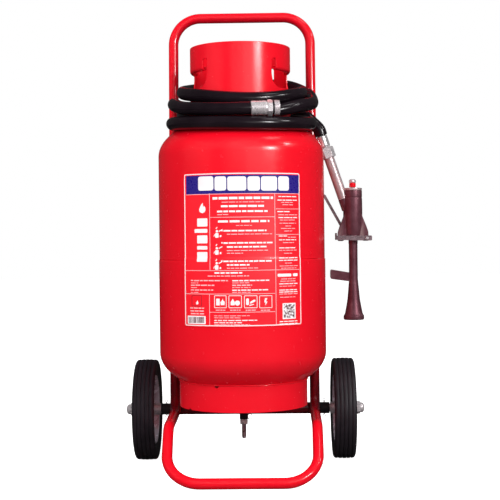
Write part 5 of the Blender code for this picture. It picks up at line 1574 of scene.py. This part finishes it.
# ---------------------------------------------------------------- floor, light and camera
def stage_plane(name, size, z, col, rough):
    bm = bmesh.new()
    vs = [bm.verts.new((x * size, y * size, z)) for x, y in ((-1, -1), (1, -1), (1, 1), (-1, 1))]
    bm.faces.new(vs)
    me = bpy.data.meshes.new(name)
    bm.to_mesh(me)
    bm.free()
    ob = bpy.data.objects.new(name, me)
    bpy.context.scene.collection.objects.link(ob)
    m_, nt, b = nodes_of(name)
    b.inputs["Base Color"].default_value = (*col, 1)
    b.inputs["Roughness"].default_value = rough
    lp_ = nt.nodes.new("ShaderNodeLightPath")
    dull = mix(nt, lp_.outputs["Is Glossy Ray"], (0.30, 0.29, 0.29), (0.035, 0.034, 0.034))
    c = mix(nt, lp_.outputs["Is Camera Ray"], dull, col)
    nt.links.new(c, b.inputs["Base Color"])
    b.inputs["Specular IOR Level"].default_value = 0.1
    b.inputs["Emission Color"].default_value = (1, 1, 1, 1)
    em = maprange(nt, lp_.outputs["Is Camera Ray"], 0.0, 1.0)
    nt.links.new(em, b.inputs["Emission Strength"])
    me.materials.append(m_)
    return ob


stage_plane("studio_floor", 12.0, -0.0005, (0.97, 0.97, 0.97), 0.85)

w = bpy.data.worlds.new("studio")
bpy.context.scene.world = w
w.use_nodes = True
nt = w.node_tree
bg = nt.nodes["Background"]
tc = nt.nodes.new("ShaderNodeTexCoord")
sep = nt.nodes.new("ShaderNodeSeparateXYZ")
nt.links.new(tc.outputs["Generated"], sep.inputs[0])
mr = nt.nodes.new("ShaderNodeMapRange")
mr.inputs["From Min"].default_value = -0.15
mr.inputs["From Max"].default_value = 0.6
mr.inputs["To Min"].default_value = 0.95
mr.inputs["To Max"].default_value = 1.0
nt.links.new(sep.outputs["Z"], mr.inputs["Value"])
lp = nt.nodes.new("ShaderNodeLightPath")
mixv = nt.nodes.new("ShaderNodeMix")
mixv.data_type = 'FLOAT'
nt.links.new(lp.outputs["Is Camera Ray"], mixv.inputs[0])
gl_ = nt.nodes.new("ShaderNodeMix")
gl_.data_type = 'FLOAT'
nt.links.new(lp.outputs["Is Glossy Ray"], gl_.inputs[0])
gl_.inputs[2].default_value = 0.14   # soft light from all round
gl_.inputs[3].default_value = 0.05   # what the shiny surfaces mirror
nt.links.new(gl_.outputs[0], mixv.inputs[2])
mixv.inputs[3].default_value = 1.0
nt.links.new(mixv.outputs[0], bg.inputs["Strength"])
bg.inputs["Color"].default_value = (1, 1, 1, 1)


def area(name, loc, target, size, power, shape_='RECTANGLE', size_y=None, col=(1, 1, 1)):
    l = bpy.data.lights.new(name, 'AREA')
    l.shape = shape_
    l.size = size
    if size_y:
        l.size_y = size_y
    l.energy = power
    l.color = col
    ob = bpy.data.objects.new(name, l)
    bpy.context.scene.collection.objects.link(ob)
    ob.location = loc
    ob.rotation_euler = (Vector(target) - Vector(loc)).to_track_quat('-Z', 'Y').to_euler()
    return ob


def aim(az, el, dist, at=(0.03, 0.10, 0.60)):
    a_, e_ = radians(az), radians(el)
    return Vector(at) + dist * Vector((cos(e_) * sin(a_), -cos(e_) * cos(a_), sin(e_)))


# boxes that draw the highlights, and large soft fills
for nm, az, el, pw, sx_, sy_ in (("key_softbox", 42, 17, 15, 0.95, 0.60), ("glint_softbox", 44, 17, 20, 0.40, 0.32),
                                 ("second_glint", 76, 33, 9, 0.32, 0.24),
                                 ("overhead_softbox", 72, 60, 5, 0.8, 0.6), ("wide_sheen", 28, 12, 5, 2.2, 1.2)):
    area(nm, aim(az, el, 3.0), (0.03, 0.10, 0.60), sx_, pw, 'RECTANGLE', sy_)
for nm, az, el, pw, sz in (("front_fill", 6, 26, 93, 3.0), ("left_fill", -62, 24, 66, 2.8), ("top_fill", 10, 66, 16, 2.4),
                           ("back_fill_left", 215, 30, 20, 1.8), ("back_fill_right", 145, 30, 8, 1.8)):
    o_ = area(nm, aim(az, el, 3.4), (0.0, 0.15, 0.40), sz, pw, 'RECTANGLE', sz)
    o_.visible_glossy = False

vs_ = bpy.context.scene.view_settings
vs_.view_transform = 'Standard'
vs_.look = 'None'
vs_.exposure = 0.0
vs_.gamma = 1.0

cam_d = bpy.data.cameras.new("view")
cam_d.lens = 85
cam_d.sensor_width = 36
cam_d.shift_y = -0.0186
cam = bpy.data.objects.new("view", cam_d)
bpy.context.scene.collection.objects.link(cam)
cam.matrix_world = Matrix.Translation(CAM) @ Matrix.Rotation(YAW, 4, 'Z') @ Matrix.Rotation(radians(90), 4, 'X') @ Matrix.Rotation(-ROLL, 4, 'Z')
bpy.context.scene.camera = cam

bpy.context.view_layer.update()
